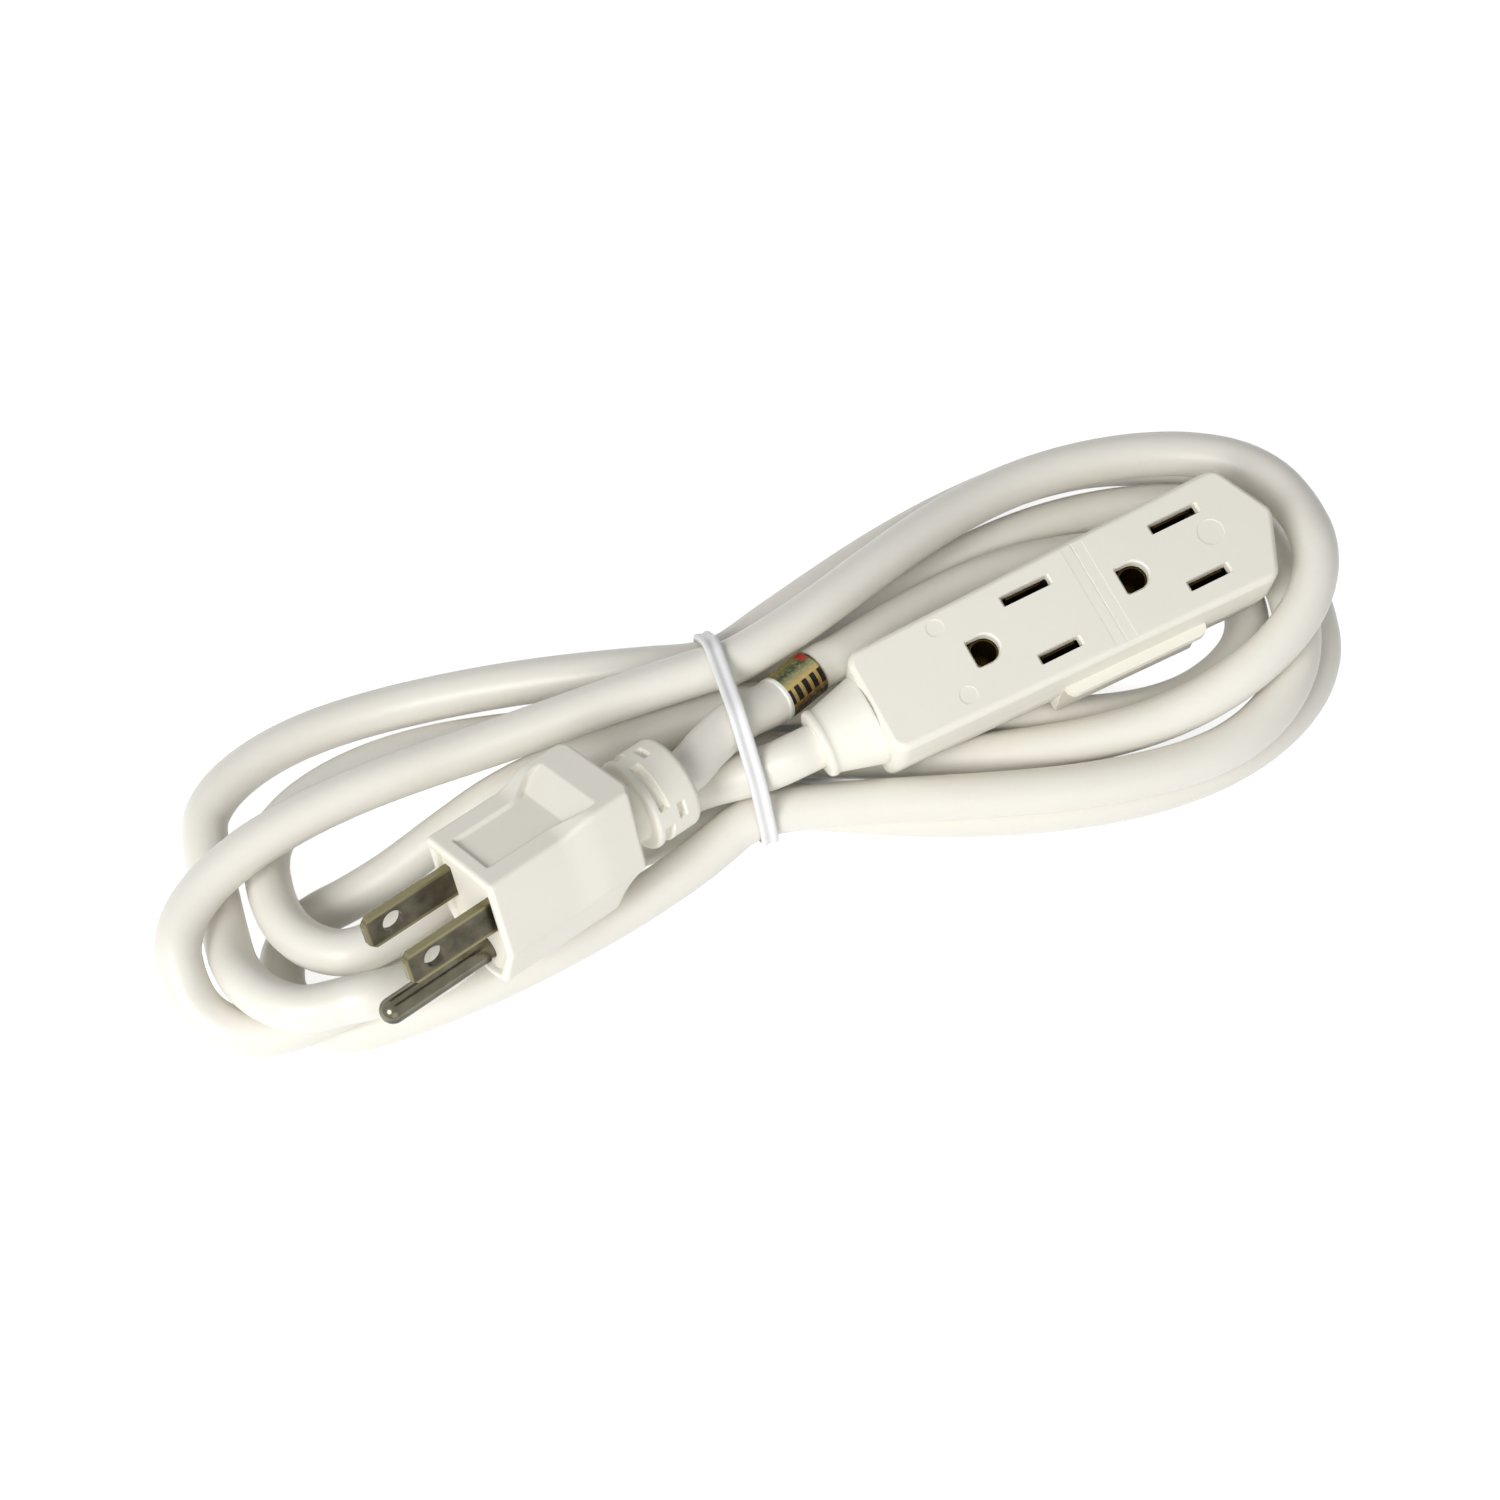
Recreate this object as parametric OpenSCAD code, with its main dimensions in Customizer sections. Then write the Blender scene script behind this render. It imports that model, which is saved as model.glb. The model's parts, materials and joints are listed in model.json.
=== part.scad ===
// Grounded three-outlet extension cord: a moulded plug, a round cord laid in a
// tied hank and a slender outlet block. The hank lies on the floor, z = 0.

/* [Cord] */
// Outside diameter of the cord's jacket
cord_d = 8.4; // [8:0.1:8.8]
// Sides of the cord's swept section
cord_sides = 8; // [8:2:10]
// Diameter of an insulated inner conductor
wire_d = 2.6; // [2.2:0.1:2.8]
// Diameter of a bare stranded conductor in its crimp
strand_d = 1.6; // [1.2:0.1:1.8]

/* [Outlet block] */
// Length from the cord end to the shoulders of the pointed tip
block_shoulder = 77; // [76:1:84]
// Length from the cord end to the tip
block_len = 82.5; // [82:0.5:90]
// Width at the cord end
block_w_cord = 20.8; // [20.4:0.2:22]
// Width at the shoulders
block_w_tip = 24; // [23:0.5:26]
// Thickness from the rear face to the front face
block_t = 22.2; // [22:0.2:24]
// Depth of the front cover
cover_depth = 7.5; // [7:0.5:9]
// Wall of both covers
block_wall = 1.8; // [1.5:0.1:2]
// Thickness of the slotted front and rear faces
face_t = 2.2; // [2:0.1:2.6]
// Corner radius of the block's outline
block_corner = 3; // [2:0.5:4]
// Bevel round the front face
face_bevel = 1.2; // [0.8:0.1:1.6]
// Draft of the rear cover over its depth
rear_draft = 2.6; // [2:0.2:3]
// Rise of the rear face at the cord end
heel_rise = 5.2; // [4:0.2:5.4]
// Length over which the rear face rises to the cord end
heel_len = 28; // [26:1:30]
// Start of the ledge beside the rear outlet
ledge_start = 34.4; // [33:0.2:36]
// End of the ledge beside the rear outlet
ledge_end = 62.9; // [61:0.2:66]
// How far the ledge stands out from the side
ledge_out = 2; // [1.6:0.1:2.4]
// Thickness of the ledge
ledge_t = 1.8; // [1.4:0.1:2.2]

/* [Outlets] */
// Distance from the cord end to the first ground opening
outlet_first = 23.1; // [22:0.1:24]
// Pitch of the two front outlets
outlet_pitch = 30.5; // [30:0.1:31]
// Distance between the two blade slots
slot_gap = 12.7; // [12.6:0.1:12.8]
// Distance from the blade slots to the ground opening
ground_off = 11.9; // [11.8:0.1:12]
// Length of the neutral slot
slot_neutral = 9.5; // [9:0.1:9.8]
// Length of the line slot
slot_line = 8; // [7.4:0.1:8.4]
// Width of a blade slot
slot_w = 2; // [1.9:0.1:2.2]
// Width of the ground opening
ground_d = 5.1; // [5:0.1:5.4]
// Distance from its centre to its flat side
ground_flat = 2.42; // [2.4:0.01:2.5]
// Width of the bevelled rim round each opening
rim_w = 0.6; // [0.4:0.1:0.8]
// Depth of that rim
rim_d = 0.3; // [0.2:0.1:0.4]

/* [Contacts] */
// Thickness of the brass strip
bus_t = 0.8; // [0.6:0.1:1]
// Width of the brass strip
bus_w = 4; // [3.4:0.2:4.4]
// Thickness of a contact leaf
leaf_t = 0.5; // [0.4:0.1:0.6]
// Length of a contact leaf along the block
leaf_len = 7; // [6:0.5:8]
// Gap between two leaves
leaf_gap = 1.3; // [1.1:0.1:1.4]
// Bore of a ground sleeve
sleeve_bore = 4.7; // [4.6:0.1:4.8]
// Wall of a ground sleeve
sleeve_wall = 0.6; // [0.5:0.1:0.7]
// Thickness of the contact carrier
carrier_t = 1.6; // [1.4:0.1:1.8]

/* [Block strain relief] */
// Length of the cone outside the block
relief_len = 10.4; // [10:0.2:12]
// Diameter of the cone at the block
relief_d_root = 17.2; // [16:0.2:17.2]
// Diameter of the cone at the cord
relief_d_end = 13.4; // [12.6:0.2:14]
// Diameter of its neck through the end wall
relief_neck = 9.6; // [9:0.2:10]
// Diameter of its anchor inside the block
anchor_d = 12; // [11:0.2:12]
// Length of its anchor inside the block
anchor_len = 8; // [8:0.5:9]

/* [Plug] */
// Length of the plug's grip
plug_body = 30.5; // [29:0.5:32]
// Width of the grip at the blades
plug_w_face = 19.6; // [19.2:0.2:20.4]
// Width of the grip's rear shoulders
plug_w_rear = 20.6; // [20.6:0.2:21.6]
// Depth from the cord's axis to the flat thumb side
plug_top = 11.2; // [10.8:0.1:11.6]
// Depth from the cord's axis to the rounded ground side
plug_keel = 15.5; // [15:0.1:16]
// Wall of the plug's shell
plug_wall = 1.8; // [1.6:0.1:2]
// Start of the S-curved flare
flare_start = 14.5; // [13:0.5:15.5]
// End of the S-curved flare
flare_end = 22.5; // [21.5:0.5:23]
// How far the thumb side rises behind the thumb recess
thumb_rise = 1.5; // [1.2:0.1:1.8]
// Depth of the thumb recess
thumb_depth = 0.7; // [0.5:0.1:1]
// Distance from the face to the thumb recess
thumb_start = 2.8; // [2.4:0.2:4]
// Width of the thumb recess near the face
thumb_w = 10.4; // [9.6:0.2:11]
// How far the recess sweeps outward at each rear corner
thumb_sweep = 2.8; // [2:0.2:3.2]
// Distance from the cord's axis up to the blades' plane
blade_rise = 2.8; // [2.6:0.1:3]

/* [Blades] */
// Length of a blade outside the face
blade_len = 17; // [16:0.2:18]
// Width of a blade
blade_w = 6.35; // [6.2:0.05:6.5]
// Thickness of a blade
blade_t = 1.5; // [1.4:0.05:1.6]
// Diameter of a blade's hole
blade_hole = 4; // [3.2:0.1:4.1]
// Distance from the face to a blade's hole
blade_hole_at = 11.7; // [11.5:0.1:12]
// Diameter of the ground pin
pin_d = 4.8; // [4.7:0.05:4.85]
// Length of the ground pin outside the face
pin_len = 21.4; // [20:0.2:22]

/* [Plug strain relief] */
// Length of the segmented drum with its end flange
drum_len = 9.8; // [9:0.2:11]
// Diameter of the drum
drum_d = 17.4; // [16.6:0.2:18]
// Diameter of the neck between the grip and the drum
drum_neck = 12.6; // [12:0.2:13]
// Length of that neck
neck_len = 3.5; // [3:0.1:4]
// Length anchored inside the grip
drum_anchor = 8; // [7:0.5:9]

/* [Label and tie] */
// Length of the label wrapped round the cord
label_len = 10; // [9:0.5:11]
// Thickness of the label
label_t = 0.25; // [0.2:0.05:0.4]
// Width of the tie along the hank
tie_w = 4; // [3.6:0.2:4.4]
// Thickness of the tie between its ridges
tie_t = 0.8; // [0.7:0.1:0.9]
// Height of the tie's two ridges
tie_ridge = 0.25; // [0.2:0.1:0.35]
// Slack between the tie and the strands
tie_slack = 0.3; // [0.3:0.05:0.5]

/* [Hidden] */

// Places in the hank's frame, whose floor strands run at z = cord_d / 2
seat_clear = 0.15;
cord_flat = cord_d / 10;
lay_x = -1.29;
lay_y = -3.35;
block_at = [20.6, -4.8, 10.2];
block_turn = [0, 0, 9.4];
plug_at = [-56.2, -21.3, 39.1];
plug_turn = [149.1, 13.6, 20.8];

// Where the strands pass through the tie, in y and z
tie_x = -2;
slot_a = [13.2, 23.8];
slot_t1 = [2.2, 24.6];
slot_t2 = [-6.9, 20.9];
slot_c3 = [-13.4, 14.5];
slot_b1 = [18.2, 13.9];
slot_c1 = [7.9, 13.8];
slot_b2 = [13.4, 6.4];
slot_c2 = [0.4, 7];
slot_c4 = [-9, 6.4];

// Rings along one arm, one quarter of an end turn and its apex
arm_n = 7;
quarter_n = 6;
apex_n = 2;
// Half of the straight run through the tie
pass_half = 2.5;
// Rings of the first arm that the plug's lead takes
hank_first = 3;

// The hank's right-hand end follows the block's tip
tip_x = block_at.x + block_len * cos(block_turn.z);

// One turn: slot in, its easing, shoulder in, apex, shoulder out,
// easing out, slot out, and how the climb is spread over the quarters
turns = [
    [slot_t1, [0.62, 0.62], [tip_x - 42, 20.3, 9.6],
        [tip_x - 3, 5, 4.2, 0, 4.2], [tip_x - 26, -13.2, 4.2],
        [1.1, 0.37], slot_c1, [0.35, 1]],
    [slot_c1, [3.4, 3], [-80, -3, 4.2], [-93.6, -14, 4.2, -15.5, 4.2],
        [-80, -26.9, 4.2], [0.4, 0.6], slot_c3, [1, 1]],
    [slot_c3, [0.7, 1.2], [tip_x - 26, -27.6, 13.5],
        [tip_x + 3.3, -4, 12.8, 8, 12.8], [tip_x - 34, 28.6, 4.2],
        [0.8, 1], slot_b2, [1, 1]],
    [slot_b2, [1.2, 1], [-62, 21.4, 4.6], [-90.6, 6, 8.5, 0, 11.5],
        [-76, -17.2, 20], [3.5, 2.8], slot_c2, [1, 0.5]],
    [slot_c2, [0.6, 3.4], [tip_x - 28, -18.3, 13.5],
        [tip_x + 8, 4, 24, 12, 21], [tip_x - 32, 35, 14],
        [0.8, 1.3], slot_a, [0.42, 1]],
    [slot_a, [0.8, 1.3], [-58, 12.8, 19.4], [-108.4, -7, 18.9, -13, 16.8],
        [-93, -25.4, 13.65], [2, 2.4], slot_c4, [1, 0.7]],
    [slot_c4, [0.5, 0.4], [tip_x - 28, -28.6, 4.2],
        [tip_x + 9, -6, 4.2, 10, 4.2], [tip_x - 30, 38.5, 4.2],
        [0.6, 0.9], slot_b1, [1, 1]],
    [slot_b1, [0.6, 1], [-70, 31, 4.6], [-100.4, 16, 6.4, -6, 10.4],
        [-84, -26.2, 24.3], [0.8, 1], slot_t2, [1, 0.32]]
];

// Hand-laid points of the two free stretches
plug_lead_points = [
    [-8, -1.5, 26.7], [-1, 2.2, 24.8], [6, 4.4, 21.8], [15.4, 9, 18.8]
];
outlet_lead_points = [
    [-68, -25.4, 20.8], [-57, -20.5, 17.4], [-43, -13, 16.3],
    [-30, -7.5, 15.8], [-18, -5.8, 15.7], [-10, -6, 18.5],
    [-3, -7, 20.8], [2, -7.4, 22.6]
];
lead_n = 4;
lead_slack = 1.7;
wire_pitch = 2.9;
wire_run = 1.2;
core_gap = 0.05;
no_floor = -1000;
lead_run = 4;
join_run = 6;

// ---------------------------------------------------------------- routes

function unit(v) = v / norm(v);
function ease(t) = t * t * (3 - 2 * t);

function arm(slot, shoulder, power, u) =
    let (x0 = tie_x + pass_half * sign(shoulder.x - tie_x), e = ease(u))
    [
        x0 + (shoulder.x - x0) * u,
        slot.x + (shoulder.y - slot.x) * pow(e, power.x),
        slot.y + (shoulder.z - slot.y) * pow(e, power.y)
    ];

// A quarter ellipse from a shoulder to the apex line
function quarter(shoulder, x, y, z, u, spread) = [
    shoulder.x + (x - shoulder.x) * sin(90 * u),
    y + (shoulder.y - y) * cos(90 * u),
    shoulder.z + (z - shoulder.z) * ease(u) ^ spread
];

function quarter_back(shoulder, x, y, z, u, spread) = [
    shoulder.x + (x - shoulder.x) * cos(90 * u),
    y + (shoulder.y - y) * sin(90 * u),
    z + (shoulder.z - z) * ease(u) ^ spread
];

function turn(t) = let (a = t[3]) [
    for (k = [0 : arm_n - 1]) arm(t[0], t[2], t[1], k / arm_n),
    for (k = [0 : quarter_n - 1])
        quarter(t[2], a[0], a[1], a[2], k / quarter_n, t[7][0]),
    for (k = [0 : apex_n - 1]) let (u = k / apex_n)
        [a[0], a[1] + (a[3] - a[1]) * u, a[2] + (a[4] - a[2]) * ease(u)],
    for (k = [0 : quarter_n - 1])
        quarter_back(t[4], a[0], a[3], a[4], k / quarter_n, t[7][1]),
    for (k = [0 : arm_n]) arm(t[6], t[4], t[5], 1 - k / arm_n)
];

// Evens out the rings between the two ends of a run
function evened(p) = [
    for (k = [0 : len(p) - 1]) k == 0 || k == len(p) - 1 ? p[k]
        : (p[k - 1] + 2 * p[k] + p[k + 1]) / 4
];

all_turns = [for (t = turns) each evened(turn(t))];
hank_route = [
    for (k = [hank_first : len(all_turns) - arm_n - 1]) all_turns[k]
];
hank_start = hank_route[0];
hank_end = hank_route[len(hank_route) - 1];
start_dir = unit(hank_route[1] - hank_start);
end_dir = unit(hank_end - hank_route[len(hank_route) - 2]);

function heading(turn) = [
    cos(turn.y) * cos(turn.z), cos(turn.y) * sin(turn.z), -sin(turn.y)
];
plug_dir = heading(plug_turn);
block_dir = heading(block_turn);
plug_len = plug_body + neck_len + drum_len;
relief_z = block_t - relief_d_root / 2;
plug_gland = plug_at + plug_len * plug_dir;
block_gland = block_at + [0, 0, relief_z] - relief_len * block_dir;

// A smooth curve through hand-laid points
function spline_at(a, b, c, d, t) = (
    2 * b + (c - a) * t + (2 * a - 5 * b + 4 * c - d) * t ^ 2
    + (3 * b - a - 3 * c + d) * t ^ 3
) / 2;

function spline(p, n) = let (m = len(p) - 1) [
    for (i = [0 : m - 1], k = [0 : n - 1]) spline_at(
        i == 0 ? 2 * p[0] - p[1] : p[i - 1], p[i], p[i + 1],
        i == m - 1 ? 2 * p[m] - p[m - 1] : p[i + 2], k / n
    ),
    p[m]
];

plug_lead_route = spline(concat(
    [plug_gland, plug_gland + lead_run * plug_dir], plug_lead_points,
    [hank_start - join_run * start_dir, hank_start]
), lead_n);
outlet_lead_route = spline(concat(
    [hank_end, hank_end + join_run * end_dir], outlet_lead_points,
    [block_gland - lead_run * block_dir, block_gland]
), lead_n);

// ---------------------------------------------------------------- sweeps

function tangent(p, k, first, last) =
    k == 0 ? first
    : k == len(p) - 1 ? last
    : unit(unit(p[k + 1] - p[k]) + unit(p[k] - p[k - 1]));

// One ring of a swept tube, cut flat where it rests on the floor
function ring(centre, dir, r, sides, floor_z) =
    let (side = unit(cross(dir, [0, 0, 1])), rise = cross(side, dir)) [
        for (i = [0 : sides - 1])
        let (a = (i + 0.5) * 360 / sides)
        let (q = centre + r * (cos(a) * side + sin(a) * rise))
        [q.x, q.y, max(q.z, floor_z)]
    ];

function skin(rings, sides) = [
    for (k = [0 : rings - 2], i = [0 : sides - 1])
    let (a = k * sides + i, b = k * sides + (i + 1) % sides)
    each [[a, b, b + sides], [a, b + sides, a + sides]]
];

function fan(first, sides, flip) = [
    for (i = [1 : sides - 2])
    flip ? [first, first + i, first + i + 1]
    : [first, first + i + 1, first + i]
];

module tube(path, r, first, last, sides = cord_sides,
    floor_z = cord_flat) {
    rings = len(path);
    points = [
        for (k = [0 : rings - 1])
        each ring(path[k], tangent(path, k, first, last), r, sides, floor_z)
    ];
    polyhedron(points, concat(
        fan(0, sides, false), skin(rings, sides),
        fan((rings - 1) * sides, sides, true)
    ));
}

// A thin sleeve swept along part of a route
module sleeve(path, r_in, r_out, first, last, sides = cord_sides) {
    rings = len(path);
    outer = [
        for (k = [0 : rings - 1])
        each ring(path[k], tangent(path, k, first, last), r_out, sides,
            cord_flat)
    ];
    inner = [
        for (k = [0 : rings - 1])
        each ring(path[k], tangent(path, k, first, last), r_in, sides,
            cord_flat)
    ];
    m = rings * sides;
    tail = (rings - 1) * sides;
    polyhedron(concat(outer, inner), concat(
        skin(rings, sides),
        [for (f = skin(rings, sides)) [f[0] + m, f[2] + m, f[1] + m]],
        [
            for (i = [0 : sides - 1]) let (j = (i + 1) % sides)
            each [[i, i + m, j + m], [i, j + m, j]]
        ],
        [
            for (i = [0 : sides - 1]) let (j = (i + 1) % sides)
            each [
                [tail + i, tail + j + m, tail + i + m],
                [tail + i, tail + j, tail + j + m]
            ]
        ]
    ));
}

// ---------------------------------------------------------------- outlines

function arc_corner(prev, p, next, r, n) =
    let (
        da = unit(prev - p), db = unit(next - p),
        half = acos(da * db) / 2,
        c = p + unit(da + db) * r / sin(half),
        a = p + da * r / tan(half) - c,
        b = p + db * r / tan(half) - c,
        a0 = atan2(a.y, a.x), da1 = atan2(b.y, b.x) - a0,
        swing = da1 > 180 ? da1 - 360 : da1 < -180 ? da1 + 360 : da1
    )
    [
        for (k = [0 : n])
        c + r * [cos(a0 + swing * k / n), sin(a0 + swing * k / n)]
    ];

function rounded(p, r, n = 5) = let (m = len(p)) [
    for (i = [0 : m - 1])
    each arc_corner(p[(i + m - 1) % m], p[i], p[(i + 1) % m], r, n)
];

// Half width of the block at a distance from its cord end
function block_half(x) =
    (block_w_cord + (block_w_tip - block_w_cord) * x / block_shoulder) / 2;

module block_outline(inset, start) {
    polygon(rounded([
        [start, inset - block_half(0)],
        [block_shoulder - inset / 2, inset - block_half(block_shoulder)],
        [block_len - inset, 0],
        [block_shoulder - inset / 2, block_half(block_shoulder) - inset],
        [start, block_half(0) - inset]
    ], max(block_corner - inset, 0.8)));
}

// ---------------------------------------------------------------- frames

module laid() {
    translate([lay_x, lay_y, -cord_flat]) children();
}

module on_block() {
    laid() translate(block_at) rotate(block_turn) children();
}

module on_plug() {
    laid() translate(plug_at) rotate(plug_turn) children();
}

module along_x() {
    rotate([0, 90, 0]) children();
}

// ---------------------------------------------------------------- block

split_z = block_t - cover_depth;
front_slots = [
    outlet_first + ground_off,
    outlet_first + ground_off + outlet_pitch
];
rear_ground = outlet_first + outlet_pitch;
rear_slots = rear_ground - ground_off;
bus_y = slot_gap / 2;
bus_z = split_z - 4;
relief_gap = 0.1;
boss_step = 0.6;
crimp_x = outlet_first - 7;
crimp_len = 4;

// Round towards the slots, square on the far side
module ground_opening(away, grow) {
    d = ground_d + 2 * grow;
    flat = ground_flat + grow;
    circle(d = d, $fn = 48);
    translate([away > 0 ? -flat : 0, -d / 2]) square([flat, d]);
}

// The three openings of one outlet, seen in plan from the front
module outlet_openings(x_slots, x_ground, grow) {
    away = sign(x_slots - x_ground);
    translate([x_slots - slot_neutral / 2 - grow, bus_y - slot_w / 2 - grow])
        square([slot_neutral + 2 * grow, slot_w + 2 * grow]);
    translate([x_slots - slot_line / 2 - grow, -bus_y - slot_w / 2 - grow])
        square([slot_line + 2 * grow, slot_w + 2 * grow]);
    translate([x_ground, 0]) ground_opening(away, grow);
}

module relief_hole() {
    translate([-1, 0, relief_z]) along_x()
        cylinder(d = relief_neck + 2 * relief_gap, h = block_wall + 2,
            $fn = 64);
}

module block_front_cover() {
    color("antiquewhite") on_block() difference() {
        hull() {
            translate([0, 0, split_z])
                linear_extrude(cover_depth - face_bevel) block_outline(0, 0);
            translate([0, 0, split_z])
                linear_extrude(cover_depth) block_outline(face_bevel, face_bevel);
        }
        translate([0, 0, split_z - 1])
            linear_extrude(cover_depth + 1 - face_t)
            block_outline(block_wall, block_wall);
        relief_hole();
        for (x = front_slots) {
            translate([0, 0, split_z])
                linear_extrude(cover_depth + 1)
                outlet_openings(x, x - ground_off, 0);
            translate([0, 0, block_t - rim_d])
                linear_extrude(cover_depth)
                outlet_openings(x, x - ground_off, rim_w);
        }
    }
}

// Rear cover's solid form: drafted sides and a heel that rises to the cord
module rear_form(inset) {
    intersection() {
        hull() {
            translate([0, 0, split_z - 2])
                linear_extrude(2) block_outline(inset, inset);
            translate([0, 0, inset])
                linear_extrude(1) block_outline(inset + rear_draft, inset);
        }
        translate([0, block_w_tip, 0]) rotate([90, 0, 0])
            linear_extrude(2 * block_w_tip) polygon([
                [0, heel_rise + inset],
                [heel_len, inset],
                [block_len, inset],
                [block_len, split_z],
                [0, split_z]
            ]);
    }
}

// Boss of the rear outlet, with a ledge at the joint line
module rear_boss(inset, z0) {
    x0 = ledge_start + inset;
    x1 = ledge_end - inset;
    gap = boss_step + inset;
    translate([0, 0, z0]) linear_extrude(split_z - z0) polygon([
        [x0, gap - block_half(x0)],
        [x1, gap - block_half(x1)],
        [x1, block_half(x1) - gap],
        [x0, block_half(x0) - gap]
    ]);
}

module rear_ledge() {
    translate([0, 0, split_z - ledge_t]) linear_extrude(ledge_t)
        polygon(rounded([
            [ledge_start, -block_half(ledge_start) - ledge_out],
            [ledge_end, -block_half(ledge_end) - ledge_out],
            [ledge_end, block_half(ledge_end) + ledge_out],
            [ledge_start, block_half(ledge_start) + ledge_out]
        ], ledge_out));
}

module block_rear_cover() {
    color("antiquewhite") on_block() difference() {
        union() {
            rear_form(0);
            rear_boss(0, 0);
            rear_ledge();
        }
        rear_form(block_wall);
        rear_boss(block_wall, face_t);
        translate([0, 0, split_z - 2]) linear_extrude(3)
            block_outline(block_wall, block_wall);
        relief_hole();
        translate([0, 0, -1]) linear_extrude(face_t + 2)
            outlet_openings(rear_slots, rear_ground, 0);
        translate([0, 0, -1]) linear_extrude(1 + rim_d)
            outlet_openings(rear_slots, rear_ground, rim_w);
    }
}

// Flat insulating carrier that the brass strips lie on
module block_carrier() {
    x0 = outlet_first - ground_off;
    x1 = front_slots[1] + leaf_len;
    half = block_half(x0) - block_wall - rear_draft / 2;
    color("whitesmoke") on_block() difference() {
        translate([x0, -half, bus_z - carrier_t])
            cube([x1 - x0, 2 * half, carrier_t]);
        for (s = [-1, 1])
            translate([rear_slots - leaf_len / 2 - seat_clear,
                s * bus_y - bus_w / 2, bus_z - carrier_t - 1])
                cube([leaf_len + 2 * seat_clear, bus_w, carrier_t + 2]);
        translate([rear_ground, 0, bus_z - carrier_t - 1])
            cylinder(d = sleeve_d + 2 * seat_clear, h = carrier_t + 2, $fn = 48);
    }
}

// Two spring leaves that grip a blade
module leaves(x, z0, z1) {
    for (s = [-1, 1])
        translate([x - leaf_len / 2,
            s * (leaf_gap + leaf_t) / 2 - leaf_t / 2, z0])
            cube([leaf_len, leaf_t, z1 - z0]);
}

// A brass strip with its leaves and the crimp for its conductor
module bus(y) {
    leaf_top = block_t - face_t - 2 * seat_clear;
    leaf_low = face_t + 2 * seat_clear;
    translate([0, y, 0]) {
        translate([crimp_x, -bus_w / 2, bus_z])
            cube([front_slots[1] + leaf_len / 2 - crimp_x, bus_w, bus_t]);
        for (x = front_slots) leaves(x, bus_z, leaf_top);
        leaves(rear_slots, leaf_low, bus_z + bus_t);
        crimp(crimp_x);
    }
}

module crimp(x) {
    translate([x, 0, bus_z + bus_t + strand_d / 2]) along_x()
        difference() {
            cylinder(d = strand_d + 2 * bus_t, h = crimp_len, $fn = 32);
            translate([0, 0, -1])
                cylinder(d = strand_d, h = crimp_len + 2, $fn = 32);
        }
}

module line_bus() {
    color("goldenrod") on_block() bus(-bus_y);
}

module neutral_bus() {
    color("goldenrod") on_block() bus(bus_y);
}

sleeve_d = sleeve_bore + 2 * sleeve_wall;

// The ground strip, with a round pad under each sleeve
module ground_bus() {
    color("goldenrod") on_block() {
        translate([crimp_x, -bus_w / 2, bus_z])
            cube([rear_ground - crimp_x, bus_w, bus_t]);
        for (x = [outlet_first, rear_ground])
            translate([x, 0, bus_z]) cylinder(d = sleeve_d, h = bus_t, $fn = 48);
        crimp(crimp_x);
    }
}

// A rolled brass sleeve that grips a ground pin
module ground_sleeve(x, z0, z1) {
    color("goldenrod") on_block() translate([x, 0, z0]) difference() {
        cylinder(d = sleeve_d, h = z1 - z0, $fn = 48);
        translate([0, 0, -1]) cylinder(d = sleeve_bore, h = z1 - z0 + 2, $fn = 48);
    }
}

sleeve_top = block_t - face_t - 2 * seat_clear;
sleeve_low = face_t + 2 * seat_clear;

module ground_sleeve_1() {
    ground_sleeve(outlet_first, bus_z + bus_t, sleeve_top);
}

module ground_sleeve_2() {
    ground_sleeve(rear_ground, bus_z + bus_t, sleeve_top);
}

module ground_sleeve_rear() {
    ground_sleeve(rear_ground, sleeve_low, bus_z);
}

module block_relief() {
    rim = 0.5;
    color("antiquewhite") on_block() translate([0, 0, relief_z])
        along_x() rotate_extrude($fn = 64) polygon([
            [0, -relief_len],
            [relief_d_end / 2 - rim, -relief_len],
            [relief_d_end / 2, -relief_len + rim],
            [relief_d_end / 2, -relief_len + 3 * rim],
            [relief_d_end / 2 - rim, -relief_len + 4 * rim],
            [relief_d_root / 2, 0],
            [relief_neck / 2, 0],
            [relief_neck / 2, block_wall + relief_gap],
            [anchor_d / 2, block_wall + relief_gap],
            [anchor_d / 2, block_wall + anchor_len],
            [0, block_wall + anchor_len]
        ]);
}

// Insulated conductor through local points, ends square to X
module wire(points) {
    tube(points, wire_d / 2, [1, 0, 0], [1, 0, 0],
        cord_sides, no_floor);
}

module block_wire(y_in, y_out) {
    x0 = block_wall + anchor_len;
    z1 = bus_z + bus_t + strand_d / 2;
    on_block() wire([
        [x0, y_in, relief_z],
        [x0 + wire_run, y_in, relief_z],
        [crimp_x - wire_run, y_out, z1],
        [crimp_x, y_out, z1]
    ]);
}

module block_wire_line() {
    color("black") block_wire(-wire_pitch, -bus_y);
}

module block_wire_neutral() {
    color("white") block_wire(wire_pitch, bus_y);
}

module block_wire_ground() {
    color("green") block_wire(0, 0);
}

// ---------------------------------------------------------------- plug

pin_z = ground_off - blade_rise;
face_depth = 1;
pin_shank = pin_d - 0.6;
core_len = 8;
core_end = face_depth + core_len;
plug_crimp_x = core_end + 1;
anchor_x = plug_body - drum_anchor;
keel_half = 4.5;
keel_flat = 3;
side_z = 5;
rear_slant = [1.6, 2.2];
plug_crest = plug_top + thumb_rise;
thumb_ramp = [flare_end - 4, flare_end + 1.5];
keel_slant = 6;

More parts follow.
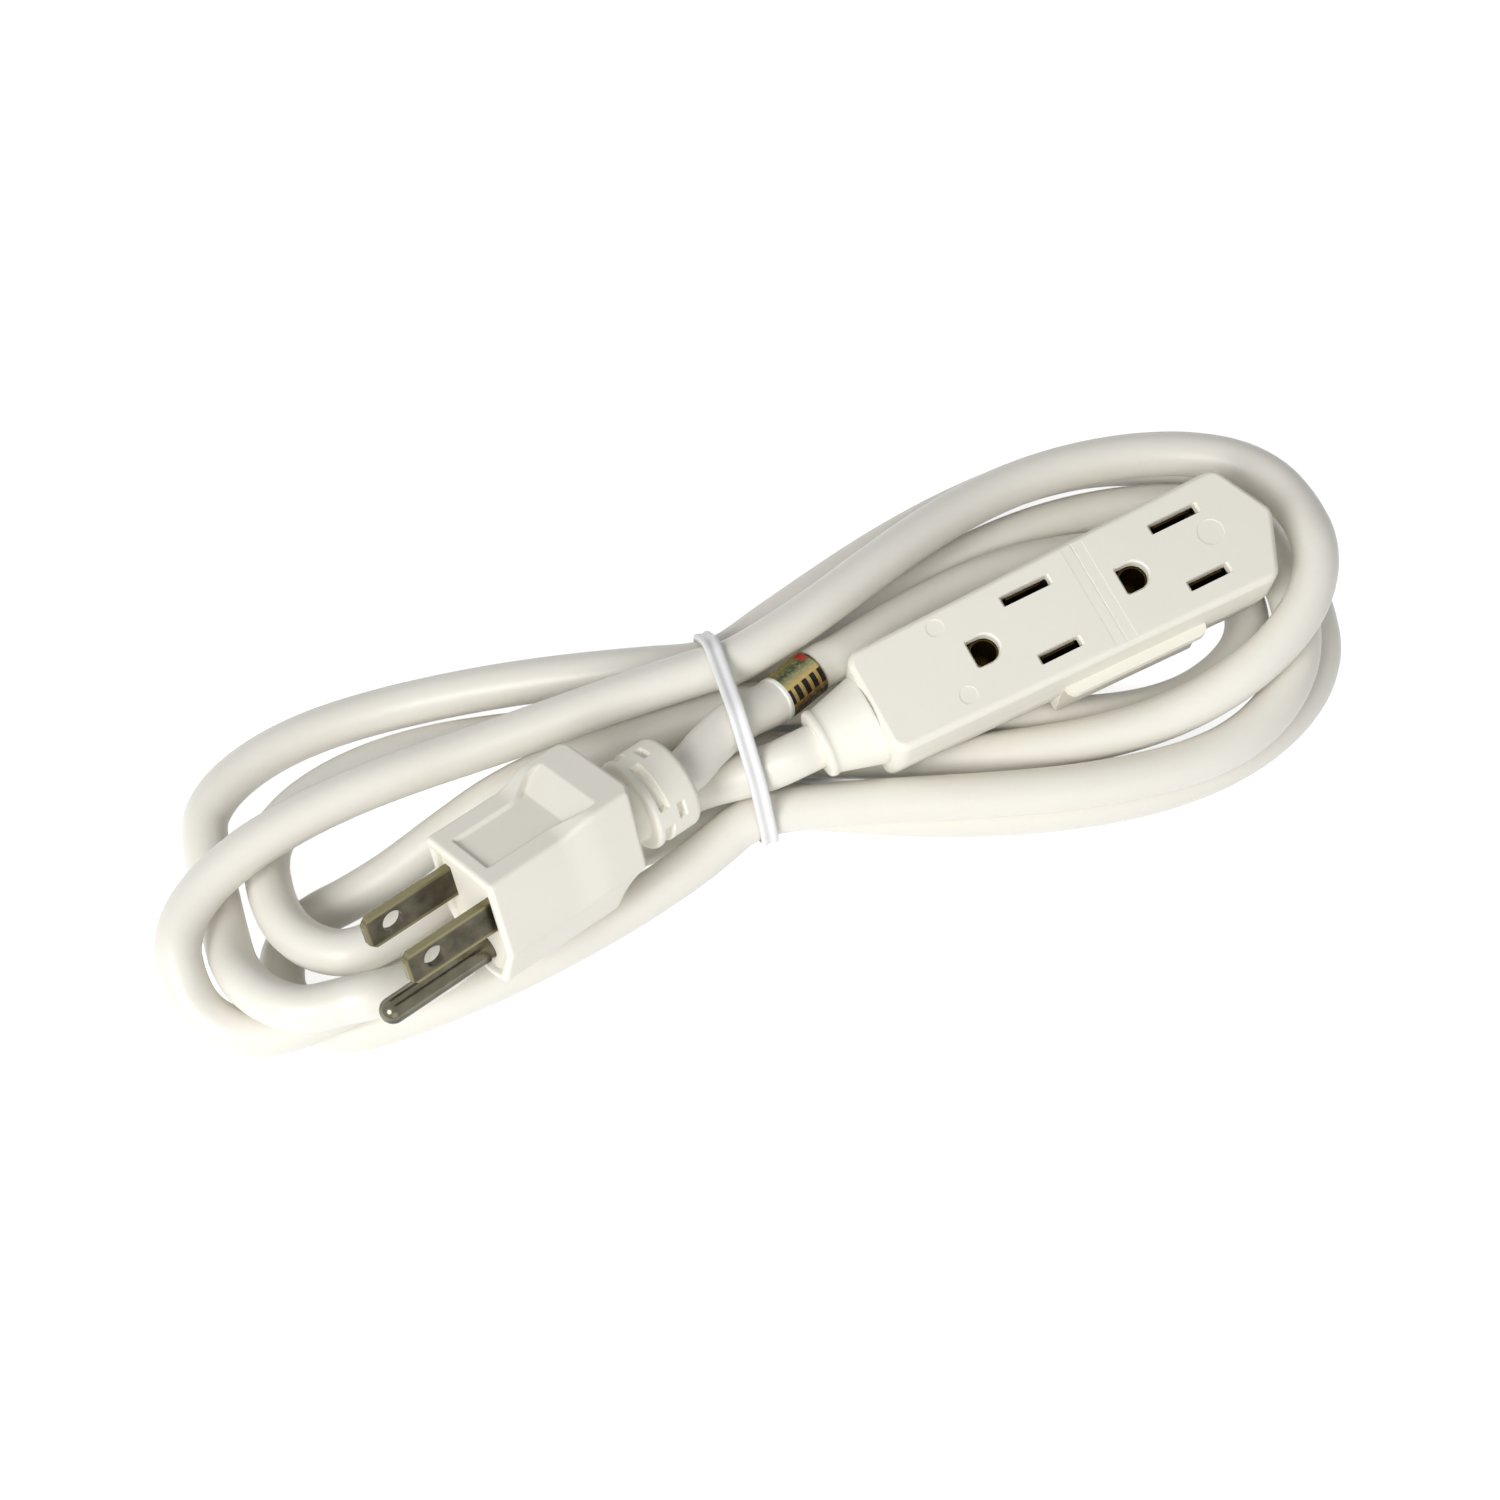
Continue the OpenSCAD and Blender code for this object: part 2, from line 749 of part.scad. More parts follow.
// Cross-section of the grip; the flat thumb side is at -Z
module grip_section(half, inset, top = plug_top) {
    h = half - inset;
    k = keel_half - inset / 2;
    side = side_z - (half - plug_w_face / 2);
    polygon([
        [-h, inset - top],
        [h, inset - top],
        [h, side],
        [k, plug_keel - 1 - inset],
        [keel_flat - inset / 2, plug_keel - inset],
        [inset / 2 - keel_flat, plug_keel - inset],
        [-k, plug_keel - 1 - inset],
        [-h, side]
    ]);
}

function flare(k) = [
    flare_start + (flare_end - flare_start) * k,
    (plug_w_face + (plug_w_rear - plug_w_face) * ease(k)) / 2
];

module grip_plan() {
    side = concat(
        [[0, plug_w_face / 2]],
        [for (k = [0 : 0.125 : 1]) flare(k)],
        [
            [plug_body - rear_slant.x, plug_w_rear / 2],
            [plug_body, plug_w_rear / 2 - rear_slant.y]
        ]
    );
    n = len(side);
    polygon(concat(
        side, [for (k = [1 : n]) [side[n - k].x, -side[n - k].y]]
    ));
}

// Extrudes a Y-Z section along X, from x0 over a length
module section_run(x0, length) {
    translate([x0, 0, 0]) rotate([90, 0, 90]) linear_extrude(length)
        children();
}

// Side view of the grip, whose thumb side rises in an S-curve
module grip_profile() {
    rise = [
        for (k = [0 : 0.125 : 1])
        [flare(k).x, -plug_top - thumb_rise * ease(k)]
    ];
    polygon(concat(
        [[0, plug_keel], [0, -plug_top]],
        rise,
        [
            [plug_body - 1, -plug_crest],
            [plug_body, 1 - plug_crest],
            [plug_body, plug_keel - keel_slant],
            [plug_body - keel_slant, plug_keel]
        ]
    ));
}

// The scooped thumb rest, whose rear corners sweep outward and whose
// floor ramps up to the crest
module thumb_recess() {
    half = thumb_w / 2;
    edge = concat(
        [[thumb_start, half - 0.4]],
        [for (k = [0 : 0.125 : 1])
            [flare(k).x, half + thumb_sweep * ease(k)]],
        [[flare_end + 1.2, half + thumb_sweep], [flare_end + 2.6, half]]
    );
    n = len(edge);
    wide = half + thumb_sweep + 1;
    intersection() {
        translate([0, 0, -plug_crest - 1])
            linear_extrude(1 + thumb_rise + thumb_depth)
            polygon(concat(
                edge, [for (k = [1 : n]) [edge[n - k].x, -edge[n - k].y]]
            ));
        translate([0, wide, 0]) rotate([90, 0, 0])
            linear_extrude(2 * wide) polygon([
                [0, thumb_depth - plug_top],
                [thumb_ramp[0], thumb_depth - plug_top],
                [thumb_ramp[1], -plug_crest],
                [thumb_ramp[1], -plug_crest - 2],
                [0, -plug_crest - 2]
            ]);
    }
}

module plug_shell() {
    depth = plug_crest + plug_keel;
    color("antiquewhite") on_plug() difference() {
        intersection() {
            translate([0, 0, -plug_crest]) linear_extrude(depth)
                grip_plan();
            section_run(0, plug_body)
                grip_section(plug_w_rear / 2, 0, plug_crest);
            translate([0, plug_w_rear, 0]) rotate([90, 0, 0])
                linear_extrude(2 * plug_w_rear) grip_profile();
        }
        thumb_recess();
        section_run(-1, plug_body + 1 - plug_wall)
            grip_section(plug_w_face / 2, plug_wall);
        translate([plug_body - plug_wall - 1, 0, 0]) along_x()
            cylinder(d = relief_neck + 2 * relief_gap, h = plug_wall + 2,
                $fn = 64);
    }
}

// Insert that holds the blades, set back inside the shell's rim
module plug_core() {
    color("ivory") on_plug() difference() {
        section_run(face_depth, core_len)
            grip_section(plug_w_face / 2, plug_wall + seat_clear);
        for (s = [-1, 1])
            translate([0, s * bus_y - blade_t / 2 - core_gap,
                -blade_rise - blade_w / 2 - core_gap])
                cube([core_end + 1, blade_t + 2 * core_gap,
                    blade_w + 2 * core_gap]);
        translate([0, 0, pin_z]) along_x()
            cylinder(d = pin_shank + 2 * core_gap, h = core_end + 1,
                $fn = 64);
    }
}

// A blade with its pierced, chamfered tip and the crimp behind the core
module blade(y) {
    w = blade_w / 2;
    tip = 1.2;
    translate([0, y, -blade_rise]) {
        difference() {
            translate([0, blade_t / 2, 0]) rotate([90, 0, 0])
                linear_extrude(blade_t) polygon([
                    [-blade_len, tip - w],
                    [tip - blade_len, -w],
                    [core_end, -w],
                    [core_end, -strand_d],
                    [plug_crimp_x + 0.5, -strand_d],
                    [plug_crimp_x + 0.5, strand_d],
                    [core_end, strand_d],
                    [core_end, w],
                    [tip - blade_len, w],
                    [-blade_len, w - tip]
                ]);
            translate([-blade_hole_at, blade_t, 0]) rotate([90, 0, 0])
                cylinder(d = blade_hole, h = 2 * blade_t, $fn = 64);
        }
        plug_crimp();
    }
}

module plug_crimp() {
    translate([plug_crimp_x, 0, 0]) along_x() difference() {
        cylinder(d = strand_d + 2 * bus_t, h = crimp_len, $fn = 32);
        translate([0, 0, 1])
            cylinder(d = strand_d, h = crimp_len, $fn = 32);
    }
}

module line_blade() {
    color("darkkhaki") on_plug() blade(-bus_y);
}

module neutral_blade() {
    color("darkkhaki") on_plug() blade(bus_y);
}

module ground_pin() {
    r = pin_d / 2;
    color("darkkhaki") on_plug() translate([0, 0, pin_z]) {
        translate([r - pin_len, 0, 0]) along_x()
            cylinder(d = pin_d, h = pin_len - r, $fn = 64);
        translate([r - pin_len, 0, 0]) sphere(r = r, $fn = 64);
        along_x() cylinder(d = pin_shank, h = core_end, $fn = 64);
        translate([core_end - 1, 0, 0]) along_x()
            cylinder(r = strand_d, h = 2, $fn = 32);
        plug_crimp();
    }
}

// One row of curved windows round the drum
module drum_windows(x, width, span, first) {
    for (k = [0 : 3])
        translate([x, 0, 0]) along_x() rotate([0, 0, first + 90 * k])
            rotate_extrude(angle = span, $fn = 64)
            translate([drum_d / 2 - 1.6, 0]) square([2.6, width]);
}

module plug_relief() {
    r = drum_d / 2;
    x1 = plug_body + neck_len;
    edge = 0.8;
    color("antiquewhite") on_plug() difference() {
        along_x() rotate_extrude($fn = 64) polygon([
            [0, anchor_x],
            [anchor_d / 2, anchor_x],
            [anchor_d / 2, plug_body - plug_wall - relief_gap],
            [relief_neck / 2, plug_body - plug_wall - relief_gap],
            [relief_neck / 2, plug_body],
            [drum_neck / 2, plug_body],
            [drum_neck / 2, x1],
            [r - edge, x1],
            [r, x1 + edge],
            [r, plug_len - edge],
            [r - edge, plug_len],
            [0, plug_len]
        ]);
        drum_windows(x1 + 1.6, 1.6, 66, 187);
        drum_windows(x1 + 5, 1.2, 22, 164);
    }
}

module plug_wire(from, to) {
    x0 = plug_crimp_x + crimp_len;
    on_plug() wire([
        [x0, from.x, from.y],
        [x0 + wire_run, from.x, from.y],
        [anchor_x - wire_run, to.x, to.y],
        [anchor_x, to.x, to.y]
    ]);
}

module plug_wire_line() {
    color("black")
        plug_wire([-bus_y, -blade_rise], [-wire_pitch, -wire_d / 2]);
}

module plug_wire_neutral() {
    color("white")
        plug_wire([bus_y, -blade_rise], [wire_pitch, -wire_d / 2]);
}

module plug_wire_ground() {
    color("green") plug_wire([0, pin_z], [0, wire_pitch]);
}

// ---------------------------------------------------------------- cord

// Points every third of a span, on which the hank's gap is measured
fine = [
    for (k = [0 : len(hank_route) - 2], t = [0, 1, 2])
    hank_route[k] + (hank_route[k + 1] - hank_route[k]) * t / 3
];
run = [
    for (k = 0, s = 0; k < len(fine); k = k + 1,
        s = s + (k < len(fine) ? norm(fine[k] - fine[k - 1]) : 0)) s
];
hank_gap = min([
    for (i = [0 : len(fine) - 1], j = [i + 1 : 1 : len(fine) - 1])
    if (run[j] - run[i] > 3 * cord_d) norm(fine[i] - fine[j])
]) - cord_d;

module cord_hank() {
    echo(str("least gap of the hank to itself, mm: ", hank_gap));
    color("antiquewhite") laid()
        tube(hank_route, cord_d / 2, start_dir, end_dir);
}

module plug_lead() {
    color("antiquewhite") laid()
        tube(plug_lead_route, cord_d / 2, plug_dir, start_dir);
}

module outlet_lead() {
    color("antiquewhite") laid()
        tube(outlet_lead_route, cord_d / 2, end_dir, block_dir);
}

// Point at a length along a route
function along(p, s, k = 0) = let (d = norm(p[k + 1] - p[k]))
    s <= d ? p[k] + (p[k + 1] - p[k]) * s / d : along(p, s - d, k + 1);

label_start = 26;
label_rings = 5;

module cord_label() {
    path = [
        for (k = [0 : label_rings])
        along(plug_lead_route, label_start + label_len * k / label_rings)
    ];
    m = label_rings;
    r = cord_d / 2 + seat_clear;
    color("gold") laid() sleeve(path, r, r + label_t,
        unit(path[1] - path[0]), unit(path[m] - path[m - 1]));
}

// Outline of the tie round the strands' circles
module tie_outline(grow) {
    r = cord_d / 2 + tie_slack + grow;
    hull() {
        for (s = [slot_a, slot_c3, slot_b1, slot_b2, slot_c4])
            translate(s) circle(r = r, $fn = 32);
        for (s = [slot_t1, slot_t2])
            translate(s) circle(r = r + lead_slack, $fn = 32);
    }
}

module tie_band(grow, width) {
    rotate([90, 0, 90]) linear_extrude(width) tie_outline(grow);
}

module cord_tie() {
    ridge_w = 1.1;
    color("white") laid() translate([tie_x - tie_w / 2, 0, 0])
        difference() {
            union() {
                tie_band(tie_t, tie_w);
                for (x = [0.3, tie_w - ridge_w - 0.3])
                    translate([x, 0, 0])
                        tie_band(tie_t + tie_ridge, ridge_w);
            }
            translate([-1, 0, 0]) tie_band(0, tie_w + 2);
        }
}

// The tie's ends, twisted together against the band
twist_size = [2.2, 1.1];
twist_len = 9;
twist_lean = -22.6;

module tie_twist() {
    reach = cord_d / 2 + tie_slack + tie_t + tie_ridge
        + norm(twist_size) / 2 + 0.26;
    at = slot_b2 + reach * [cos(twist_lean), sin(twist_lean)];
    color("white") laid() translate([tie_x - 1, at.x, at.y]) along_x()
        linear_extrude(height = twist_len, twist = 720, slices = 32)
        square(twist_size, center = true);
}

block_front_cover();
block_rear_cover();
block_carrier();
line_bus();
neutral_bus();
ground_bus();
ground_sleeve_1();
ground_sleeve_2();
ground_sleeve_rear();
block_relief();
block_wire_line();
block_wire_neutral();
block_wire_ground();
plug_shell();
plug_core();
line_blade();
neutral_blade();
ground_pin();
plug_relief();
plug_wire_line();
plug_wire_neutral();
plug_wire_ground();
plug_lead();
cord_hank();
outlet_lead();
cord_label();
cord_tie();
tie_twist();
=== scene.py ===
import json
import math

import bpy
from mathutils import Euler, Matrix, Vector

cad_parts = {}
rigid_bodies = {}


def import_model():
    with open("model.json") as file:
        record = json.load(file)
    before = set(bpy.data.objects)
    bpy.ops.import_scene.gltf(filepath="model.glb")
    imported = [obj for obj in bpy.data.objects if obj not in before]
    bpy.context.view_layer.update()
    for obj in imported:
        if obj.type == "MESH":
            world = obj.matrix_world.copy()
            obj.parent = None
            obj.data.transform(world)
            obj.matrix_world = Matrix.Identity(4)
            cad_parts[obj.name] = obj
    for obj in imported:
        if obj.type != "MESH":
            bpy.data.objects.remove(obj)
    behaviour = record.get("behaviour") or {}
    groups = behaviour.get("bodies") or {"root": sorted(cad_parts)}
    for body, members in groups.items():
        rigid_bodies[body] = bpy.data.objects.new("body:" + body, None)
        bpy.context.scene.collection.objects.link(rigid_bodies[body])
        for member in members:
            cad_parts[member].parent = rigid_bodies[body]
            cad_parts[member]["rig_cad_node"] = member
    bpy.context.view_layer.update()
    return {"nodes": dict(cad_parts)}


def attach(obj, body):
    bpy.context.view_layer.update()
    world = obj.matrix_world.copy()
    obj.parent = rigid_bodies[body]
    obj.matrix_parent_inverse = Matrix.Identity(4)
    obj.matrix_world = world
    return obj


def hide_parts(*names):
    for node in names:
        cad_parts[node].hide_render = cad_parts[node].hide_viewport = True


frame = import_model()


# ---------------------------------------------------------------- The view
# The camera stands over the front left of the hank and looks down on the
# knot of the tie, with a long lens that keeps the runs nearly parallel.


def placed(name, data):
    """A thing with this name, put in the scene."""
    thing = bpy.data.objects.new(name, data)
    bpy.context.scene.collection.objects.link(thing)
    return thing


def aimed(name, data, place, target=(0, 0, 0)):
    """A camera or lamp that stands at a place and looks at a target."""
    thing = placed(name, data)
    thing.location = place
    way = Vector(target) - Vector(place)
    thing.rotation_euler = way.to_track_quat("-Z", "Y").to_euler()
    return thing


lens = bpy.data.cameras.new("view")
lens.lens = 61.5
lens.sensor_width = 36
lens.clip_start = 0.01
bpy.context.scene.camera = aimed(
    "view", lens, (-0.0457, -0.1417, 0.4582), (-0.0013, -0.0034, 0.0112))


# ---------------------------------------------------------------- The cord
# One round vinyl cord, three conductors in a soft off-white jacket. It is
# wound in eight turns through a tie, from the plug to the outlet block.

mm = 0.001
cord_radius = 4.2
satin_depth = 0.01 * mm


class Signal:
    """An output of a node, on which sums are written as plain sums."""

    def __init__(self, nodes, socket):
        self.nodes, self.socket = nodes, socket

    def math(self, operation, *others):
        return self.nodes.node(
            "Math", {"operation": operation}, dict(enumerate((self, *others))))

    def __add__(self, other):
        return self.math("ADD", other)

    def __sub__(self, other):
        return self.math("SUBTRACT", other)

    def __mul__(self, other):
        return self.math("MULTIPLY", other)

    def __rsub__(self, other):
        return self * -1 + other

    __radd__ = __add__
    __rmul__ = __mul__


class Nodes:
    """A node tree. Its node() adds any node and gives one of its outputs."""

    def __init__(self, tree):
        self.tree = tree

    def join(self, port, value):
        if isinstance(value, Signal):
            self.tree.links.new(value.socket, port)
        elif port.type == "RGBA":
            port.default_value = (*value, 1)
        else:
            port.default_value = value

    def node(self, kind, settings, values, out=0):
        made = self.tree.nodes.new("ShaderNode" + kind)
        for key, value in settings.items():
            if key == "stops":
                ramp = made.color_ramp
                while len(ramp.elements) < len(value):
                    ramp.elements.new(1)
                for stop, (at, colour) in zip(ramp.elements, value):
                    stop.position = at
                    stop.color = (*colour, 1)
            else:
                setattr(made, key, value)
        for key, value in values.items():
            self.join(made.inputs[key], value)
        return Signal(self, made.outputs[out])

    def split(self, vector, *axes):
        """The parts of a vector along some of its axes."""
        return [self.node("SeparateXYZ", {}, {"Vector": vector}, axis) for axis in axes]

    def fade(self, value, low, high, first=0.0, last=1.0, how="SMOOTHSTEP"):
        """Goes from first to last as a value goes from low to high."""
        return self.node("MapRange", {"interpolation_type": how}, {
            "Value": value, "From Min": low, "From Max": high,
            "To Min": first, "To Max": last})


class Finish(Nodes):
    """A material, with grain and relief in the part's own frame."""

    def __init__(self, name):
        self.material = bpy.data.materials.new(name)
        self.material.use_nodes = True
        super().__init__(self.material.node_tree)
        self.shader = self.tree.nodes["Principled BSDF"]
        self.place = self.node("TexCoord", {}, {}, "Object")

    def grain(self, per_metre, detail=2.0, where=None):
        """Smooth noise from 0 to 1, with so many lumps to a metre."""
        return self.node("TexNoise", {}, {
            "Vector": where or self.place, "Scale": per_metre, "Detail": detail})

    def blend(self, share, first, second):
        """One colour or a socket of colours going over into another."""
        return self.node("Mix", {"data_type": "RGBA"}, {
            "Factor": share, 6: first, 7: second}, 2)

    def relief(self, height, depth):
        """Bumps of so many metres where the height goes from 0 to 1."""
        return self.node("Bump", {}, {"Height": height, "Distance": depth})

    def wear(self, **ports):
        """Sets the shader's ports, written with _ for the space in a name."""
        for name, value in ports.items():
            self.join(self.shader.inputs[name.replace("_", " ")], value)
        return self


def shade(red, green, blue):
    """A colour from the numbers 0 to 255 that a paint card gives."""
    return tuple(((c / 255 + 0.055) / 1.055) ** 2.4 for c in (red, green, blue))


def lay(piece, finish, slot, *stands_for):
    """Finishes a piece, puts it on the part and hides the parts it stands for."""
    piece.data.materials.clear()
    piece.data.materials.append(finish.material)
    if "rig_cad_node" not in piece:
        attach(piece, "cord_set")
    if stands_for:
        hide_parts(*stands_for)
    return piece


def vinyl(name, light, dark, gloss):
    """Moulded or drawn vinyl: cloudy off-white with a fine satin grain."""
    made = Finish(name)
    cloud = made.grain(45, 3)
    satin = made.grain(2600, 2)
    speck = made.grain(900, 4).math("POWER", 6.0)
    return made.wear(
        Base_Color=made.blend(cloud * 0.6 + speck * 0.9, light, dark),
        Roughness=gloss + satin * 0.10 + cloud * 0.06,
        Normal=made.relief(satin + cloud * 4, satin_depth),
        IOR=1.5, Coat_Weight=0.0)


# The route is in millimetres, and shift brings it to the part's frame. A
# point in the tie is a pair of numbers, across it and above the table.
shift = Vector((-1.29, -3.35, -0.84))
bed = cord_radius

block_at = (20.6, -4.8, 10.2)
block_turn = math.radians(9.4)
block_len = 82.5
tip_x = block_at[0] + block_len * math.cos(block_turn)

tie_x = -2
pass_half = 2.5
arm_n, quarter_n, apex_n = 7, 6, 2
through_a, through_t1, through_t2 = (13.2, 23.8), (2.2, 24.6), (-6.9, 20.9)
through_c3, through_b1, through_c1 = (-13.4, 14.5), (18.2, 13.9), (7.9, 13.8)
through_b2, through_c2, through_c4 = (13.4, 6.4), (0.4, 7), (-9, 6.4)

# A turn is the point where it leaves the tie, how late it swings out and
# rises, its shoulder, its end (x, then y and z where the bend starts and
# stops), the shoulder on the way back, how late it swings and rises there,
# and the point where it enters the tie. The last pair says how late the two
# bends rise.
turns = [
    [through_t1, (0.62, 0.62), (tip_x - 42, 20.3, 9.6),
     (tip_x - 3, 5, bed, 0, bed), (tip_x - 26, -13.2, bed),
     (1.1, 0.37), through_c1, (0.35, 1)],
    [through_c1, (3.4, 3), (-80, -3, bed), (-93.6, -14, bed, -15.5, bed),
     (-80, -26.9, bed), (0.4, 0.6), through_c3, (1, 1)],
    [through_c3, (0.7, 1.2), (tip_x - 26, -27.6, 13.5),
     (tip_x + 3.3, -4, 12.8, 8, 12.8), (tip_x - 34, 28.6, bed),
     (0.8, 1), through_b2, (1, 1)],
    [through_b2, (1.2, 1), (-62, 21.4, 4.6), (-90.6, 6, 8.5, 0, 11.5),
     (-76, -17.2, 20), (3.5, 2.8), through_c2, (1, 0.5)],
    [through_c2, (0.6, 3.4), (tip_x - 28, -18.3, 13.5),
     (tip_x + 8, 4, 24, 12, 21), (tip_x - 32, 35, 14),
     (0.8, 1.3), through_a, (0.42, 1)],
    [through_a, (0.8, 1.3), (-58, 12.8, 19.4), (-108.4, -7, 18.9, -13, 16.8),
     (-93, -25.4, 13.65), (2, 2.4), through_c4, (1, 0.7)],
    [through_c4, (0.5, 0.4), (tip_x - 28, -28.6, bed),
     (tip_x + 9, -6, bed, 10, bed), (tip_x - 30, 38.5, bed),
     (0.6, 0.9), through_b1, (1, 1)],
    [through_b1, (0.6, 1), (-70, 31, 4.6), (-100.4, 16, 6.4, -6, 10.4),
     (-84, -26.2, 24.3), (0.8, 1), through_t2, (1, 0.32)],
]


def ease(t):
    return t * t * (3 - 2 * t)


def arm(through, shoulder, power, u):
    """A point of the eased run from the tie to a shoulder."""
    x0 = tie_x + math.copysign(pass_half, shoulder[0] - tie_x)
    return Vector((
        x0 + (shoulder[0] - x0) * u,
        through[0] + (shoulder[1] - through[0]) * ease(u) ** power[0],
        through[1] + (shoulder[2] - through[1]) * ease(u) ** power[1]))


def quarter(shoulder, x, y, z, u, spread, back=False):
    """A point of the quarter ellipse from a shoulder to the turn's end."""
    wide, narrow = math.sin(u * math.pi / 2), math.cos(u * math.pi / 2)
    rise = ease(u) ** spread
    if back:
        wide, narrow, rise = narrow, wide, 1 - rise
    return Vector((
        shoulder[0] + (x - shoulder[0]) * wide,
        y + (shoulder[1] - y) * narrow,
        shoulder[2] + (z - shoulder[2]) * rise))


def one_turn(leaves, power, shoulder, end, back_shoulder, back_power, enters, spread):
    x, y0, z0, y1, z1 = end
    return [
        *(arm(leaves, shoulder, power, k / arm_n) for k in range(arm_n)),
        *(quarter(shoulder, x, y0, z0, k / quarter_n, spread[0])
          for k in range(quarter_n)),
        *(Vector((x, y0 + (y1 - y0) * k / apex_n,
                  z0 + (z1 - z0) * ease(k / apex_n))) for k in range(apex_n)),
        *(quarter(back_shoulder, x, y1, z1, k / quarter_n, spread[1], True)
          for k in range(quarter_n)),
        *(arm(enters, back_shoulder, back_power, 1 - k / arm_n)
          for k in range(arm_n + 1)),
    ]


def evened(p):
    """Evens out the points between the two ends of a run."""
    return [p[0], *((a + 2 * b + c) / 4 for a, b, c in zip(p, p[1:], p[2:])), p[-1]]


def fours(p):
    """Every four neighbours of a line, which is drawn out a step each way."""
    ends = [2 * p[0] - p[1], *p, 2 * p[-1] - p[-2]]
    return zip(ends, ends[1:], ends[2:], ends[3:])


def smooth(points, n):
    """A curve through uneven points, with n steps between two of them."""
    line = []
    for a, b, c, d in fours(points):
        ta, tb, tc = ((q - p).length ** 0.5 for p, q in ((a, b), (b, c), (c, d)))
        out = c - b + tb * ((b - a) / ta - (c - a) / (ta + tb))
        into = c - b + tb * ((d - c) / tc - (d - b) / (tb + tc))
        for t in (k / n for k in range(n)):
            line.append(
                (2 * t**3 - 3 * t**2 + 1) * b + (t**3 - 2 * t**2 + t) * out
                + (3 * t**2 - 2 * t**3) * c + (t**3 - t**2) * into)
    return [*line, points[-1]]


def spline(points, n):
    """A curve through even points, with n steps between two of them."""
    return [
        (2 * b + (c - a) * t + (2 * a - 5 * b + 4 * c - d) * t**2
         + (3 * b - a - 3 * c + d) * t**3) / 2
        for a, b, c, d in fours(points)
        for t in (k / n for k in range(n))
    ] + [points[-1]]


grip_len, drum_len = 30.5, 13.3
cone_len, cone_z = 10.4, 13.6
plug_at = (-56.2, -21.3, 39.1)
plug_turn = Euler([math.radians(a) for a in (149.1, 13.6, 20.8)])
plug_place = Matrix.Translation(plug_at) @ plug_turn.to_matrix().to_4x4()
block_place = Matrix.Translation(block_at) @ Matrix.Rotation(block_turn, 4, "Z")
plug_out = plug_place.to_3x3() @ Vector((1, 0, 0))
block_in = block_place.to_3x3() @ Vector((1, 0, 0))
plug_gland = plug_place @ Vector((grip_len + drum_len, 0, 0))
block_gland = block_place @ Vector((-cone_len, 0, cone_z))

hank_first = 3
same_place = 0.01
line_n = 4
laps = [p for t in turns for p in evened(one_turn(*t))][hank_first:-arm_n]
wound = [p for k, p in enumerate(laps)
         if k == 0 or (p - laps[k - 1]).length > same_place]
start_dir = (wound[1] - wound[0]).normalized()
end_dir = (wound[-1] - wound[-2]).normalized()
plug_lead = spline([
    plug_gland, plug_gland + 4 * plug_out,
    *(Vector(p) for p in ((-8, -1.5, 26.7), (-1, 2.2, 24.8), (6, 4.4, 21.8),
                          (15.4, 9, 18.8))),
    wound[0] - 6 * start_dir, wound[0]], line_n)
outlet_lead = spline([
    wound[-1], wound[-1] + 6 * end_dir,
    *(Vector(p) for p in (
        (-68, -25.4, 20.8), (-57, -20.5, 17.4), (-43, -13, 16.3),
        (-30, -7.5, 15.8), (-18, -5.8, 15.7), (-10, -6, 18.5), (-3, -7, 20.8),
        (2, -7.4, 22.6))),
    block_gland - 4 * block_in, block_gland], line_n)
cord_line = [
    p + shift for p in smooth(plug_lead[:-1] + wound + outlet_lead[1:], line_n)]

cord_vinyl = vinyl("cord_vinyl", shade(238, 235, 226), shade(225, 221, 210), 0.3)
curve = bpy.data.curves.new("cord", "CURVE")
curve.dimensions = "3D"
curve.bevel_depth = cord_radius * mm
curve.bevel_resolution = 8
curve.use_fill_caps = True
strand = curve.splines.new("POLY")
strand.points.add(len(cord_line) - 1)
for point, place in zip(strand.points, cord_line):
    point.co = (*(place * mm), 1)
strand.use_smooth = True
cord = placed("cord", curve)
lay(cord, cord_vinyl, "cord_vinyl", "plug_lead", "cord_hank", "outlet_lead")
cord_length = sum((b - a).length for a, b in zip(cord_line, cord_line[1:]))


# ---------------------------------------------------------------- Plug grip
# The moulded grip of the plug, in satin off-white vinyl. Its sides flare
# to the rear, and a scooped rest for the thumb is sunk in its flat side.

moulding = vinyl("moulding", shade(244, 241, 230), shade(233, 229, 216), 0.44)
grip_wall = 1.8
grip_n = 400
flare_from, flare_to = 14.5, 22.5
thumb_floor = 10.5
thumb_ramp, ramp_from, ramp_to = 2.2, 18.5, 24.0


def piece_from(name, points, faces):
    """A smooth mesh piece from points in millimetres in the part's frame."""
    mesh = bpy.data.meshes.new(name)
    mesh.from_pydata([Vector(p) * mm for p in points], [], faces)
    mesh.shade_smooth()
    return placed(name, mesh)


def corner(before, at, after, radius, n):
    """The points of a rounded corner between two straight sides."""
    one, two = (before - at).normalized(), (after - at).normalized()
    half = math.acos(max(-1, min(1, one @ two))) / 2
    reach = radius / math.tan(half)
    middle = at + (one + two).normalized() * radius / math.sin(half)
    a, b = at + one * reach - middle, at + two * reach - middle
    swung = math.atan2(a.x * b.y - a.y * b.x, a @ b)
    return [middle + Matrix.Rotation(swung * k / n, 2) @ a for k in range(n + 1)]


def rounded(outline, radii, n=6):
    """A closed outline with rounded corners, as flat vectors."""
    p = [Vector(c) for c in outline]
    return [q for k in range(len(p)) for q in corner(
        p[k - 1], p[k], p[(k + 1) % len(p)], radii[k], n)]


